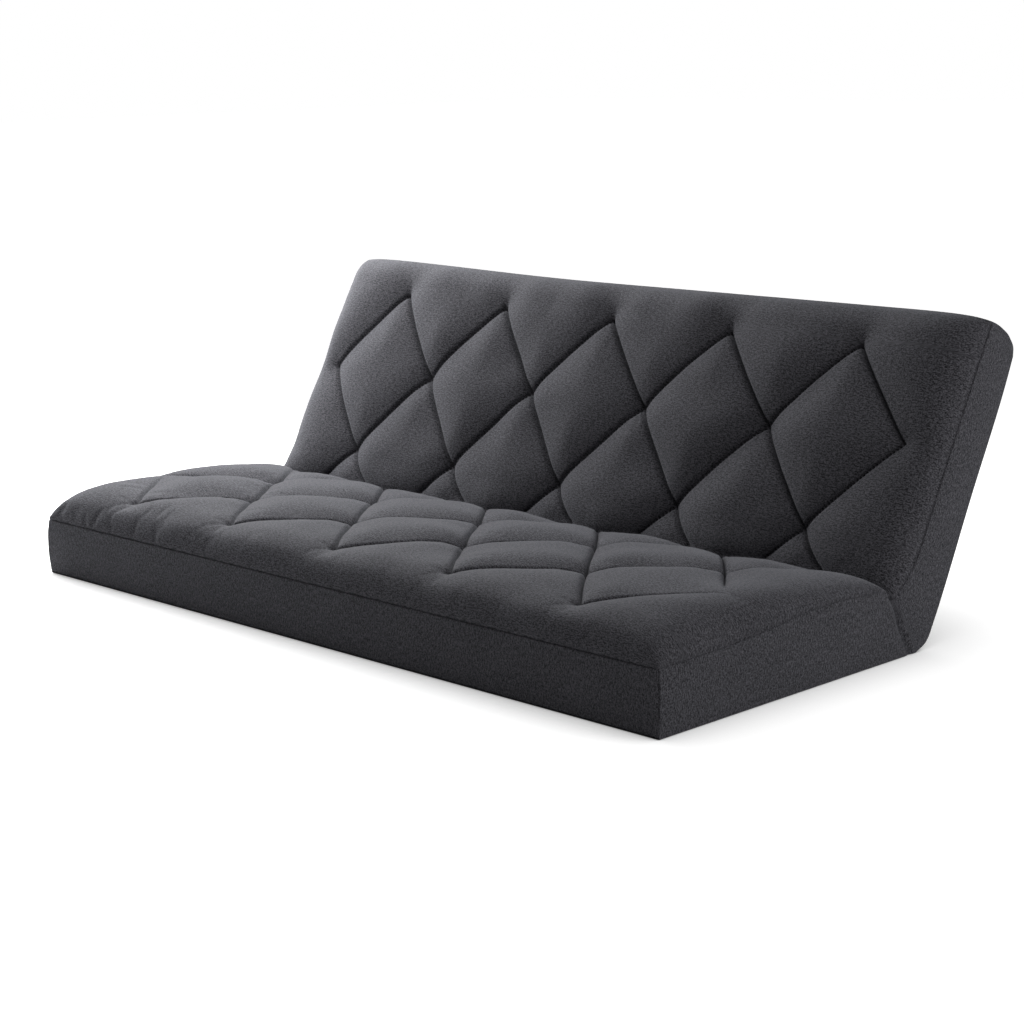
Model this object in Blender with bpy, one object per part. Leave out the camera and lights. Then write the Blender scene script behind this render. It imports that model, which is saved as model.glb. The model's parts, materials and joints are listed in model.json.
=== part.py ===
"""Futon sofa bed: a quilted two-part mattress on the floor, with a hinged steel frame inside.

Metres, +Z up, X along the sofa, the front faces -Y. The origin is under the middle of the
object, on the floor. The seat pad lies on the floor. The back pad turns about one hinge line
at the fold, from leaning forward, through sitting, to flat, where both pads make one bed.

Each pad is drawn in the coordinates of the hinge line: u runs away from the fold along the
pad, and v is the height above the hinge line when the pad lies flat.
"""
import math

import bpy
import numpy as np

# ---- Driving dimensions -------------------------------------------------------------------
WIDTH = 1.900  # length of the sofa along X
SEAT_LENGTH = 0.760  # hinge line to the seat's front face
BACK_LENGTH = 0.632  # hinge line to the back's top edge
SEAT_EDGE = 0.130  # height of the seat's boxing
BACK_EDGE = 0.116  # height of the back's boxing
SEAT_CROWN = 0.066  # rise of the seat's top above its seam
BACK_CROWN = 0.058  # rise of the back's face above its seam
BACK_TOP_RADIUS = 0.045  # where the face rolls over the top edge
BACK_REAR_RADIUS = 0.030  # where the top edge meets the rear cover
SEAT_FRONT_RADIUS = 0.006  # at the seat's lower front edge

HINGE_HEIGHT = 0.030  # hinge line above the floor
BACK_ANGLE = math.radians(62.5)  # slope of the back when used as a sofa
LEAN_FORWARD = math.radians(10.0)  # how far the back tips forward to release the ratchet
FOLD_CLEARANCE = 0.002  # half the gap between the pads at the hinge line

COVER = 0.0012  # cover cloth
WADDING = 0.012  # fibre layer under the quilted panels
GAP = 0.0004  # between layers that touch
SEAM_TRIM = 0.0005  # how far a panel's edge stops short of a seam
WADDING_GAP = 0.001  # on both sides of the wadding
WADDING_TRIM = 0.003  # how far the wadding stops short of a seam
STEP_ROOM = 0.004  # extra depth of the foam where the wadding ends

TUBE = 0.020  # side of the square frame tube
TUBE_WALL = 0.0015
TUBE_FLOOR = 0.012  # underside of the tubes above the pad's underside
RAIL_INSET = 0.050  # hinge line or far edge to the middle of the cross rail
SIDE_RAIL_INSET = 0.036  # hinge line or far edge to the end of a side rail
SEAT_RAIL_X = 0.035  # end of the sofa to the middle of the seat's side rail
CROSS_TUBES = 3  # between the two long rails of each frame
GROOVE_CLEARANCE = 0.0008  # foam channel around a tube
PLUG_FLANGE = 0.002
PLUG_DEPTH = 0.012
PLUG_CLEARANCE = 0.0003

PLATE = 0.004  # thickness of the hinge plates
PLATE_GAP = 0.0005
ARM_LENGTH = 0.150  # hinge line to the end of a hinge plate
PIVOT_RADIUS = 0.004
HOLE_CLEARANCE = 0.0001
SECTOR_TIP = 0.0260
SECTOR_ROOT = 0.0222
SECTOR_PLAIN = 0.0200
TOOTH_PITCH = math.radians(8.0)
PAWL_PIN_RADIUS = 0.003
PAWL_PIN_U = 0.056  # pawl pin from the hinge line, towards the seat
PAWL_PIN_LIFT = 0.008  # pawl pin above the top of the tubes
PAWL_TIP_CLEARANCE = 0.0006
SPRING_WIRE = 0.0008
SPRING_TURNS = 3
POCKET_CLEARANCE = 0.003  # room in the foam around the hinge

ZIP_U = 0.065  # zip's middle from the hinge line
ZIP_BAND = 0.040  # opening in the rear cover that the zip fills
ZIP_RECESS = 0.005  # tapes below the rear cover's outer face
ZIP_DEPTH = 0.011  # depth of the rebate in the foam
ZIP_TAPE = 0.0008
ZIP_RIB = 0.0024
ZIP_SLIT = 0.0012
ZIP_INSET = 0.030  # end of the sofa to the end of the zip
SLIDER_LENGTH = 0.014
SLIDER_WIDTH = 0.010
SLIDER_PLATE = 0.0012
SLIDER_INSET = 0.070  # end of the sofa to the closed slider

ROUND = 32  # sides of a round hole or pin
STRAIGHT_TURN = 0.02  # sine of the turn below which two edges count as one line

# ---- Sizes that follow ---------------------------------------------------------------------
HALF = WIDTH / 2
FLOOR = -HINGE_HEIGHT  # v of the pads' undersides
MITRE = math.tan((BACK_ANGLE + LEAN_FORWARD) / 2)  # slope of the faces at the fold
TUBE_LOW = FLOOR + TUBE_FLOOR
TUBE_HIGH = TUBE_LOW + TUBE
PAWL_PIN_V = TUBE_HIGH + PAWL_PIN_LIFT
SEAT_RAIL_OUT = HALF - SEAT_RAIL_X + TUBE / 2  # outer face of the seat's side rail
SEAT_PLATE_X = SEAT_RAIL_OUT + GAP  # inner face of the seat's hinge plate
BACK_PLATE_X = SEAT_PLATE_X + PLATE + PLATE_GAP
BACK_RAIL_OUT = BACK_PLATE_X - GAP
PIN_HEAD = 0.0025
STACK_END = BACK_PLATE_X + PLATE + PLATE_GAP  # outer side of the plates
POCKET_IN = min(SEAT_RAIL_OUT, BACK_RAIL_OUT) - TUBE - GROOVE_CLEARANCE
POCKET_OUT = STACK_END + PIN_HEAD + SPRING_TURNS * SPRING_WIRE + POCKET_CLEARANCE
POCKET_HIGH = PAWL_PIN_V + 0.020
SIDES = {"left": -1, "right": 1}

COLOURS = {
    "cover_cloth": ((0.052, 0.054, 0.060), 0.95, 0.0),
    "lining_cloth": ((0.030, 0.030, 0.033), 0.95, 0.0),
    "fibre_wadding": ((0.80, 0.80, 0.78), 1.0, 0.0),
    "foam": ((0.78, 0.74, 0.60), 0.95, 0.0),
    "frame_steel": ((0.045, 0.045, 0.048), 0.55, 0.3),
    "hinge_steel": ((0.60, 0.61, 0.62), 0.35, 1.0),
    "spring_steel": ((0.45, 0.45, 0.46), 0.30, 1.0),
    "plug_plastic": ((0.02, 0.02, 0.02), 0.50, 0.0),
    "zip_nylon": ((0.040, 0.040, 0.045), 0.60, 0.0),
    "zip_metal": ((0.10, 0.10, 0.11), 0.40, 1.0),
}


# ---- Objects and materials -----------------------------------------------------------------
def clear_scene():
    for thing in list(bpy.data.objects):
        bpy.data.objects.remove(thing, do_unlink=True)


def material(slot):
    """The Principled material of one finish, made once."""
    made = bpy.data.materials.get(slot)
    if made:
        return made
    colour, roughness, metallic = COLOURS[slot]
    made = bpy.data.materials.new(slot)
    made.use_nodes = True
    shader = made.node_tree.nodes["Principled BSDF"]
    shader.inputs["Base Color"].default_value = (*colour, 1.0)
    shader.inputs["Roughness"].default_value = roughness
    shader.inputs["Metallic"].default_value = metallic
    return made


def outward(verts, faces):
    """Turn a closed solid's faces to point out: its signed volume becomes positive."""
    points = np.array([tuple(v) for v in verts])
    volume = 0.0
    for face in faces:
        for a, b in zip(face[1:-1], face[2:]):
            volume += float(points[face[0]] @ np.cross(points[a], points[b]))
    return verts, [list(face)[::-1] if volume < 0 else list(face) for face in faces]


def add_object(name, verts, faces, slot, parent, smooth_degrees=0):
    """A mesh object from corners and faces, hung under an empty."""
    verts, faces = outward(verts, faces)
    mesh = bpy.data.meshes.new(name)
    mesh.from_pydata([tuple(v) for v in verts], [], [tuple(f) for f in faces])
    mesh.validate()
    if smooth_degrees:
        mesh.shade_smooth()
        mesh.set_sharp_from_angle(angle=math.radians(smooth_degrees))
    thing = bpy.data.objects.new(name, mesh)
    bpy.context.scene.collection.objects.link(thing)
    thing.parent = parent
    if slot:
        mesh.materials.append(material(slot))
    return thing


def add_empty(name, place, turn=0.0, parent=None):
    """An empty that pieces hang under, turned about X."""
    empty = bpy.data.objects.new(name, None)
    bpy.context.scene.collection.objects.link(empty)
    empty.location = place
    empty.rotation_euler = (turn, 0.0, 0.0)
    empty.parent = parent
    return empty


def cut(thing, cutter):
    """Take a hidden cutter out of a piece."""
    cutter.hide_render = True
    cutter.display_type = "WIRE"
    step = thing.modifiers.new("cut " + cutter.name, "BOOLEAN")
    step.operation = "DIFFERENCE"
    step.solver = "EXACT"
    step.object = cutter


# ---- Solids from profiles ------------------------------------------------------------------
def block(low, high):
    """A box between two corners, in any order along each axis."""
    (x0, x1), (y0, y1), (z0, z1) = [sorted(pair) for pair in zip(low, high)]
    verts = [(x, y, z) for x in (x0, x1) for y in (y0, y1) for z in (z0, z1)]
    faces = [(0, 1, 3, 2), (4, 6, 7, 5), (0, 4, 5, 1), (2, 3, 7, 6), (0, 2, 6, 4), (1, 5, 7, 3)]
    return verts, faces


def plate(outline, x_low, x_high):
    """A flat outline in (y, z), given a thickness along X."""
    n = len(outline)
    verts = [(x_low, y, z) for y, z in outline] + [(x_high, y, z) for y, z in outline]
    faces = [list(range(n))[::-1], list(range(n, 2 * n))]
    faces += [(i, (i + 1) % n, n + (i + 1) % n, n + i) for i in range(n)]
    return verts, faces


def turned(stations, centre=(0.0, 0.0), sides=ROUND):
    """A turned piece about a line along X through centre: stations are (x, radius)."""
    ring = np.arange(sides) * 2 * math.pi / sides
    cosines, sines = np.cos(ring), np.sin(ring)
    verts = [(x, centre[0] + r * c, centre[1] + r * s)
             for x, r in stations for c, s in zip(cosines, sines)]
    faces = [list(range(sides))[::-1], [(len(stations) - 1) * sides + i for i in range(sides)]]
    for k in range(len(stations) - 1):
        for i in range(sides):
            j = (i + 1) % sides
            faces.append((k * sides + i, k * sides + j, (k + 1) * sides + j, (k + 1) * sides + i))
    return verts, faces


def square_tube(start, end, along):
    """An open square tube between two places on its middle line, along axis 0 or 1."""
    across = [axis for axis in range(3) if axis != along]
    corners = [(-1, -1), (1, -1), (1, 1), (-1, 1)]
    verts = []
    for place in (start, end):
        for reach in (TUBE / 2, TUBE / 2 - TUBE_WALL):
            for a, b in corners:
                point = list(place)
                point[across[0]] += a * reach
                point[across[1]] += b * reach
                verts.append(tuple(point))
    faces = []
    for i in range(4):
        j = (i + 1) % 4
        faces += [(i, j, 8 + j, 8 + i), (4 + j, 4 + i, 12 + i, 12 + j)]
        faces += [(j, i, 4 + i, 4 + j), (8 + i, 8 + j, 12 + j, 12 + i)]
    return verts, faces


# ---- The pads ------------------------------------------------------------------------------
def arc(centre, radius, start, end, steps):
    """Points round an arc, in degrees, both ends included."""
    angles = np.radians(np.linspace(start, end, steps + 1))
    return [(centre[0] + radius * math.cos(a), centre[1] + radius * math.sin(a)) for a in angles]


def fold_strip(edge):
    """The mitred face at the fold, from the underside up to the seam."""
    top = FLOOR + edge
    return [(FOLD_CLEARANCE, FLOOR), (FOLD_CLEARANCE, 0.0), (FOLD_CLEARANCE + MITRE * top, top)]


def seat_strips(side):
    """The seat's outline at one station, as strips round the pad, clockwise in (u, v).

    The top rises by the crown times 1 - |2s - 1|^4, where s runs from the fold to the front.
    side is 1 along the middle and falls to 0 at the ends of the sofa.
    """
    fold = fold_strip(SEAT_EDGE)
    first = fold[-1]
    s = np.linspace(0.0, 1.0, 15)
    rise = SEAT_CROWN * side * (1 - np.abs(2 * s - 1) ** 4)
    top = [(first[0] + a * (SEAT_LENGTH - first[0]), first[1] + r) for a, r in zip(s, rise)]
    low = SEAT_FRONT_RADIUS
    front = [top[-1]] + arc((SEAT_LENGTH - low, FLOOR + low), low, 0, -90, 3)
    under = [front[-1], fold[0]]
    return [fold, top, front, under]


def back_strips(side):
    """The back's outline at one station: its face rises by the crown times 1 - (1 - s)^4 from
    the fold, then rolls over the top edge on an arc, and the rear corner is a smaller arc."""
    fold = fold_strip(BACK_EDGE)
    first = fold[-1]
    rise = BACK_CROWN * side
    s = np.linspace(0.0, 1.0, 13)
    roll = BACK_TOP_RADIUS
    reach = BACK_LENGTH - roll - first[0]
    face = [(first[0] + a * reach, first[1] + rise * (1 - (1 - a) ** 4)) for a in s]
    face += arc((BACK_LENGTH - roll, first[1] + rise - roll), roll, 90, 0, 6)[1:]
    rear = BACK_REAR_RADIUS
    corner = arc((BACK_LENGTH - rear, FLOOR + rear), rear, 0, -90, 5)
    face.append(corner[0])
    under = corner + [fold[0]]
    return [fold, face, under]


def meet(point, before, after, depth_before, depth_after):
    """Where two edges through a corner meet once each is moved along its normal. Where they
    are in line, it is the corner moved along the second one's normal."""
    turn = before[0] * after[1] - before[1] * after[0]
    if abs(turn) < STRAIGHT_TURN:
        return point + after * depth_after
    a = depth_before + before @ point
    b = depth_after + after @ point
    return np.array([a * after[1] - b * before[1], before[0] * b - after[0] * a]) / turn


def inset(loop, depths, steps):
    """Move each edge of a closed clockwise loop inwards by its own depth; returns the corners.

    Edge i runs from corner i to corner i + 1. A corner in steps becomes two: one at the lesser
    depth from both edges, and one straight in from the corner, a little past the deeper
    edge's depth, to leave room for the end of the layer that lies on it.
    """
    points = np.array(loop)
    edges = np.roll(points, -1, axis=0) - points
    edges /= np.linalg.norm(edges, axis=1)[:, None]
    normals = np.stack([edges[:, 1], -edges[:, 0]], axis=1)
    moved = []
    for i, point in enumerate(points):
        before, after = normals[i - 1], normals[i]
        if i not in steps:
            moved.append(meet(point, before, after, depths[i - 1], depths[i]))
            continue
        lesser = min(depths[i - 1], depths[i])
        shallow = meet(point, before, after, lesser, lesser)
        if depths[i] > depths[i - 1]:
            moved += [shallow, point + after * (depths[i] + STEP_ROOM)]
        else:
            moved += [point + before * (depths[i - 1] + STEP_ROOM), shallow]
    return np.array(moved)


def stations(reach):
    """Places along X: close together near the ends, where the crown falls to the seam."""
    share = np.array([0.0, 0.012, 0.035, 0.075, 0.14, 0.27, 0.5])
    share = np.concatenate([share, 1 - share[-2::-1]])
    return (2 * share - 1) * reach


def crown_side(x):
    """How much of the crown is left at x: 1 - |x / half|^12."""
    return 1 - min(abs(x) / HALF, 1.0) ** 12


PADS = {
    "seat": {"strips": seat_strips, "names": ["fold", "top", "front", "under"], "sign": -1},
    "back": {"strips": back_strips, "names": ["fold", "top", "under"], "sign": 1},
}
INNER = HALF - COVER - GAP  # where panels stop inside the end boxing


def layer(pad, x, depth, top_depth):
    """One pad's closed outline at x, moved inwards; also where each strip starts in it.

    Where the top's depth differs from the rest, the outline has a step at both its ends.
    """
    strips = PADS[pad]["strips"](crown_side(x))
    loop, depths, starts = [], [], {}
    for name, strip in zip(PADS[pad]["names"], strips):
        starts[name] = len(loop)
        loop += strip[:-1]
        depths += [top_depth if name == "top" else depth] * (len(strip) - 1)
    after_top = PADS[pad]["names"][2]
    steps = {starts["top"], starts[after_top]} if top_depth != depth else set()
    return inset(loop, depths, steps), starts


def split(a, b, c, d):
    """A four-sided face as two triangles, cut from a to c, so that layers bend alike."""
    return [(a, b, c), (a, c, d)]


def panel(pad, strip, depth, thickness, trim):
    """A sheet over one strip of a pad, from the given depth to depth + thickness, as a solid.

    Its cut edges stop short of the seams by trim, so that it clears the sheets beside it.
    """
    names = PADS[pad]["names"]
    grids = []
    for extra in (0.0, thickness):
        rows = []
        for x in stations(INNER):
            loop, starts = layer(pad, x, depth + extra, depth + extra)
            first = starts[strip]
            following = names.index(strip) + 1
            last = starts[names[following]] if following < len(names) else len(loop)
            row = loop[[i % len(loop) for i in range(first, last + 1)]].copy()
            row[0] += trim * (row[1] - row[0]) / np.linalg.norm(row[1] - row[0])
            row[-1] += trim * (row[-2] - row[-1]) / np.linalg.norm(row[-2] - row[-1])
            rows.append([(x, PADS[pad]["sign"] * u, v) for u, v in row])
        grids.append(np.array(rows))
    outer, inner = grids
    n, m = outer.shape[:2]
    verts = list(outer.reshape(-1, 3)) + list(inner.reshape(-1, 3))
    faces = []

    def at(shell, i, j):
        return shell * n * m + i * m + j

    for i in range(n - 1):
        for j in range(m - 1):
            faces += split(at(0, i, j), at(0, i + 1, j), at(0, i + 1, j + 1), at(0, i, j + 1))
            faces += split(at(1, i, j), at(1, i, j + 1), at(1, i + 1, j + 1), at(1, i + 1, j))
        faces.append((at(0, i, 0), at(1, i, 0), at(1, i + 1, 0), at(0, i + 1, 0)))
        faces.append((at(0, i, m - 1), at(0, i + 1, m - 1), at(1, i + 1, m - 1), at(1, i, m - 1)))
    for j in range(m - 1):
        faces.append((at(0, 0, j), at(0, 0, j + 1), at(1, 0, j + 1), at(1, 0, j)))
        faces.append((at(0, n - 1, j), at(1, n - 1, j), at(1, n - 1, j + 1), at(0, n - 1, j + 1)))
    return verts, faces


def core(pad):
    """The foam: the pad's shape inside the cover and the wadding, lofted along X."""
    depth = COVER + GAP
    rows = []
    for x in stations(INNER - GAP):
        loop, _ = layer(pad, x, depth, COVER + WADDING + 2 * WADDING_GAP)
        rows.append([(x, PADS[pad]["sign"] * u, v) for u, v in loop])
    n, m = len(rows), len(rows[0])
    verts = [corner for row in rows for corner in row]
    faces = []
    for i in range(n - 1):
        for j in range(m):
            k = (j + 1) % m
            faces += split(i * m + j, (i + 1) * m + j, (i + 1) * m + k, i * m + k)
    faces.append(list(range(m)))
    faces.append([(n - 1) * m + j for j in range(m)][::-1])
    return verts, faces


def end_boxing(pad, side):
    """The cloth that closes one end of a pad: the whole outline, one sheet thick."""
    loop, _ = layer(pad, HALF, 0.0, 0.0)
    sign = PADS[pad]["sign"]
    outline = [(sign * u, v) for u, v in loop]
    return plate(outline, *sorted((side * HALF, side * (HALF - COVER))))


# ---- The frame -----------------------------------------------------------------------------
def pad_length(pad):
    return SEAT_LENGTH if pad == "seat" else BACK_LENGTH


def rail_out(pad):
    return SEAT_RAIL_OUT if pad == "seat" else BACK_RAIL_OUT


def frame_runs(pad):
    """Each tube's name, ends and axis, in (x, y, z) of the hinge line."""
    sign, length = PADS[pad]["sign"], pad_length(pad)
    middle = (TUBE_LOW + TUBE_HIGH) / 2
    side_x = rail_out(pad) - TUBE / 2
    reach = side_x - TUBE / 2 - GAP
    fold_u, far_u = RAIL_INSET, length - RAIL_INSET
    fold_name, far_name = ("rear", "front") if pad == "seat" else ("lower", "upper")
    runs = {}
    for name, u in ((fold_name, fold_u), (far_name, far_u)):
        runs[f"{pad}_{name}_rail"] = ((-reach, sign * u, middle), (reach, sign * u, middle), 0)
    near, far = sign * SIDE_RAIL_INSET, sign * (length - SIDE_RAIL_INSET)
    for name, side in SIDES.items():
        x = side * side_x
        runs[f"{pad}_{name}_rail"] = ((x, near, middle), (x, far, middle), 1)
    near = sign * (fold_u + TUBE / 2 + GAP)
    far = sign * (far_u - TUBE / 2 - GAP)
    for k in range(CROSS_TUBES):
        x = side_x * (2 * (k + 1) / (CROSS_TUBES + 1) - 1)
        runs[f"{pad}_cross_tube_{k + 1}"] = ((x, near, middle), (x, far, middle), 1)
    return runs


def build_frame(pad, parent):
    for name, (start, end, along) in frame_runs(pad).items():
        add_object(name, *square_tube(start, end, along), "frame_steel", parent)
    for name, side in SIDES.items():
        for place, u, out in (("inner", SIDE_RAIL_INSET, -1),
                              ("outer", pad_length(pad) - SIDE_RAIL_INSET, 1)):
            plug = rail_plug(side * (rail_out(pad) - TUBE / 2), u, out, PADS[pad]["sign"])
            add_object(f"{pad}_{name}_plug_{place}", *plug, "plug_plastic", parent)


def rail_plug(x, u, out, sign):
    """The plug in one end of a side rail: a square flange outside and a stem in the bore."""
    middle = (TUBE_LOW + TUBE_HIGH) / 2
    bore = TUBE / 2 - TUBE_WALL - PLUG_CLEARANCE
    corners = [(-1, -1), (1, -1), (1, 1), (-1, 1)]
    flange = [(x + a * TUBE / 2, middle + b * TUBE / 2) for a, b in corners]
    stem = [(x + a * bore, middle + b * bore) for a, b in corners]
    stops = [u + out * (PLUG_FLANGE + GAP), u + out * GAP, u + out * GAP, u - out * PLUG_DEPTH]
    rings = [flange, flange, stem, stem]
    verts = [(px, sign * stop, pz) for stop, ring in zip(stops, rings) for px, pz in ring]
    faces = [(0, 1, 2, 3), (15, 14, 13, 12)]
    for k in range(3):
        for i in range(4):
            j = (i + 1) % 4
            faces.append((4 * k + j, 4 * k + i, 4 * k + 4 + i, 4 * k + 4 + j))
    return verts, faces


def frame_cutters(pad, parent):
    """Channels in the foam's underside, one for each tube and one for each hinge."""
    cutters = []
    margin = TUBE / 2 + GROOVE_CLEARANCE
    ends = PLUG_FLANGE + GAP + GROOVE_CLEARANCE
    below = FLOOR - TUBE
    for name, (start, end, along) in frame_runs(pad).items():
        low = [min(a, b) - (ends if k == along else margin) for k, (a, b) in enumerate(zip(start, end))]
        high = [max(a, b) + (ends if k == along else margin) for k, (a, b) in enumerate(zip(start, end))]
        low[2], high[2] = below, TUBE_HIGH + GROOVE_CLEARANCE
        cutters.append(add_object(f"channel_{name}", *block(low, high), None, parent))
    sign = PADS[pad]["sign"]
    for name, side in SIDES.items():
        low = (side * POCKET_IN, -sign * PAWL_PIN_U, below)
        high = (side * POCKET_OUT, sign * (ARM_LENGTH + POCKET_CLEARANCE), POCKET_HIGH)
        cutters.append(add_object(f"pocket_{pad}_{name}", *block(low, high), None, parent))
    return cutters


# ---- The hinges ----------------------------------------------------------------------------
def sector_outline():
    """The back's hinge plate: a toothed sector round the pivot and an arm along the side rail.

    The teeth are a saw edge between the root and tip radii, on the side that faces the pawl
    while the back turns from forward to flat. The rest of the disc is plain.
    """
    low, high = TUBE_LOW + 0.0052, TUBE_HIGH + 0.006
    pawl_angle = math.pi - math.atan2(PAWL_PIN_V, PAWL_PIN_U)
    first = pawl_angle - BACK_ANGLE - LEAN_FORWARD - TOOTH_PITCH
    count = math.ceil((BACK_ANGLE + LEAN_FORWARD + 2 * TOOTH_PITCH) / TOOTH_PITCH)
    points = [(ARM_LENGTH, low), (ARM_LENGTH, high)]
    start = math.asin(high / SECTOR_PLAIN)
    points += [(SECTOR_PLAIN * math.cos(a), SECTOR_PLAIN * math.sin(a))
               for a in np.linspace(start, first - TOOTH_PITCH / 4, 8)]
    for k in range(count):
        for share, radius in ((0.0, SECTOR_ROOT), (0.25, SECTOR_TIP), (0.45, SECTOR_TIP)):
            a = first + (k + share) * TOOTH_PITCH
            points.append((radius * math.cos(a), radius * math.sin(a)))
    last = first + count * TOOTH_PITCH
    end = 2 * math.pi + math.asin(low / SECTOR_PLAIN)
    points += [(SECTOR_PLAIN * math.cos(a), SECTOR_PLAIN * math.sin(a))
               for a in np.linspace(last, end, 8)]
    return points


def seat_plate_outline():
    """The seat's hinge plate: a bar along the side rail, round at the pivot, with a raised ear
    for the pawl's pin."""
    low, high = TUBE_LOW + 0.004, TUBE_HIGH + 0.003
    boss = 0.0125
    ear = 0.010
    points = arc((0, 0), boss, -70, 90, 8)
    points += [(-PAWL_PIN_U + 2.6 * ear, 0.0125)]
    points += arc((-PAWL_PIN_U, PAWL_PIN_V), ear, 60, 150, 5)
    points += [(-PAWL_PIN_U - 2.6 * ear, high), (-ARM_LENGTH, high), (-ARM_LENGTH, low)]
    points += [(-boss, low)]
    return points


def pawl_outline():
    """The pawl, in (y, z) from its own pin: a round boss and a nose that ends just clear of
    the sector's teeth."""
    reach = math.hypot(PAWL_PIN_U, PAWL_PIN_V) - SECTOR_TIP - PAWL_TIP_CLEARANCE
    slope = math.atan2(-PAWL_PIN_V, PAWL_PIN_U)
    boss, nose = 0.0075, 0.0022
    local = [(boss * math.cos(a), boss * math.sin(a)) for a in np.radians(np.linspace(40, 320, 15))]
    local += [(reach - 0.006, -nose * 1.6), (reach, -nose), (reach, nose), (reach - 0.006, nose * 1.6)]
    c, s = math.cos(slope), math.sin(slope)
    return [(u * c - v * s, u * s + v * c) for u, v in local]


def mirrored_span(side, inner, outer):
    return tuple(sorted((side * inner, side * outer)))


def drilled(name, outline, span, centres, radius, slot, parent):
    """A plate with round holes across it."""
    thing = add_object(name, *plate(outline, *span), slot, parent)
    for k, centre in enumerate(centres):
        reach = (span[0] - PLATE, span[1] + PLATE)
        drill = turned([(reach[0], radius[k]), (reach[1], radius[k])], centre)
        cut(thing, add_object(f"drill_{name}_{k + 1}", *drill, None, parent))
    return thing


def pin_solid(side, start, radius, head_radius, centre=(0.0, 0.0)):
    """A rivet along X: a closed head inside the plates, the shank, and a head outside."""
    inner_head = start - GAP - PIN_HEAD
    outside = STACK_END + PIN_HEAD
    steps = [(inner_head, head_radius), (start - GAP, head_radius), (start - GAP, radius),
             (STACK_END, radius), (STACK_END, head_radius), (outside, head_radius)]
    return turned([(side * x, r) for x, r in steps], centre)


def spring_solid(side):
    """A torsion spring round the pawl's pin: close coils beyond the pin's head, and one leg."""
    coil_radius = PAWL_PIN_RADIUS + 0.0048
    per_turn = 16
    steps = SPRING_TURNS * per_turn
    pitch = SPRING_WIRE * 1.12
    angles = np.arange(steps + 1) * 2 * math.pi / per_turn
    start = STACK_END + SPRING_WIRE
    route = np.stack([start + pitch * angles / (2 * math.pi), coil_radius * np.cos(angles),
                      coil_radius * np.sin(angles)], axis=1)
    leg = np.array([[0, 0, 0.004], [0, 0, 0.010]]) + route[-1]
    route = np.concatenate([route, leg])
    route[:, 0] *= side
    return wire(route, SPRING_WIRE / 2, 6)


def wire(route, radius, sides):
    """A round wire along a route, with closed ends; its rings stand square to the route."""
    ahead = np.gradient(route, axis=0)
    ahead /= np.linalg.norm(ahead, axis=1)[:, None]
    out = np.cross(ahead, np.array([1.0, 0.0, 0.0]))
    out /= np.linalg.norm(out, axis=1)[:, None]
    over = np.cross(ahead, out)
    ring = np.arange(sides) * 2 * math.pi / sides
    verts = (route[:, None] + radius * (np.cos(ring)[None, :, None] * out[:, None]
                                        + np.sin(ring)[None, :, None] * over[:, None]))
    n = len(route)
    faces = [list(range(sides))[::-1], [(n - 1) * sides + i for i in range(sides)]]
    for k in range(n - 1):
        for i in range(sides):
            j = (i + 1) % sides
            faces.append((k * sides + i, k * sides + j, (k + 1) * sides + j, (k + 1) * sides + i))
    return list(verts.reshape(-1, 3)), faces


def build_hinge(name, side, seat, back):
    """One ratchet hinge: two plates, the pivot pin, the pawl with its pin and spring."""
    pawl_centre = (-PAWL_PIN_U, PAWL_PIN_V)
    hole = (PIVOT_RADIUS + HOLE_CLEARANCE, PAWL_PIN_RADIUS + HOLE_CLEARANCE)
    span = mirrored_span(side, SEAT_PLATE_X, SEAT_PLATE_X + PLATE)
    drilled(f"hinge_seat_plate_{name}", seat_plate_outline(), span, [(0.0, 0.0), pawl_centre],
            hole, "hinge_steel", seat)
    span = mirrored_span(side, BACK_PLATE_X, BACK_PLATE_X + PLATE)
    drilled(f"hinge_back_plate_{name}", sector_outline(), span, [(0.0, 0.0)], hole[:1],
            "hinge_steel", back)
    pivot = pin_solid(side, SEAT_PLATE_X, PIVOT_RADIUS, PIVOT_RADIUS * 1.8)
    add_object(f"hinge_pin_{name}", *pivot, "hinge_steel", seat, 40)
    fixing = pin_solid(side, SEAT_PLATE_X, PAWL_PIN_RADIUS, PAWL_PIN_RADIUS * 1.5, pawl_centre)
    add_object(f"pawl_pin_{name}", *fixing, "hinge_steel", seat, 40)
    axis = add_empty(f"pawl_axis_{name}", (0.0, *pawl_centre), 0.0, seat)
    drilled(f"pawl_{name}", pawl_outline(), span, [(0.0, 0.0)], hole[1:], "hinge_steel", axis)
    add_object(f"pawl_spring_{name}", *spring_solid(side), "spring_steel", axis, 60)


# ---- The zip -------------------------------------------------------------------------------
def zip_strip(low_u, high_u, rib_low):
    """One tape with its row of teeth as a rib along the inner edge."""
    reach = HALF - ZIP_INSET
    face = FLOOR + ZIP_RECESS
    rib_v = (face + ZIP_TAPE / 2 - ZIP_RIB / 2, face + ZIP_TAPE / 2 + ZIP_RIB / 2)
    near, far = (low_u, low_u + ZIP_RIB) if rib_low else (high_u - ZIP_RIB, high_u)
    outline = [(near, rib_v[0]), (far, rib_v[0])]
    if rib_low:
        outline += [(far, face), (high_u, face), (high_u, face + ZIP_TAPE), (far, face + ZIP_TAPE)]
        outline += [(far, rib_v[1]), (near, rib_v[1])]
    else:
        outline += [(far, rib_v[1]), (near, rib_v[1]), (near, face + ZIP_TAPE)]
        outline += [(low_u, face + ZIP_TAPE), (low_u, face), (near, face)]
    return plate(outline, -reach, reach)


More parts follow.
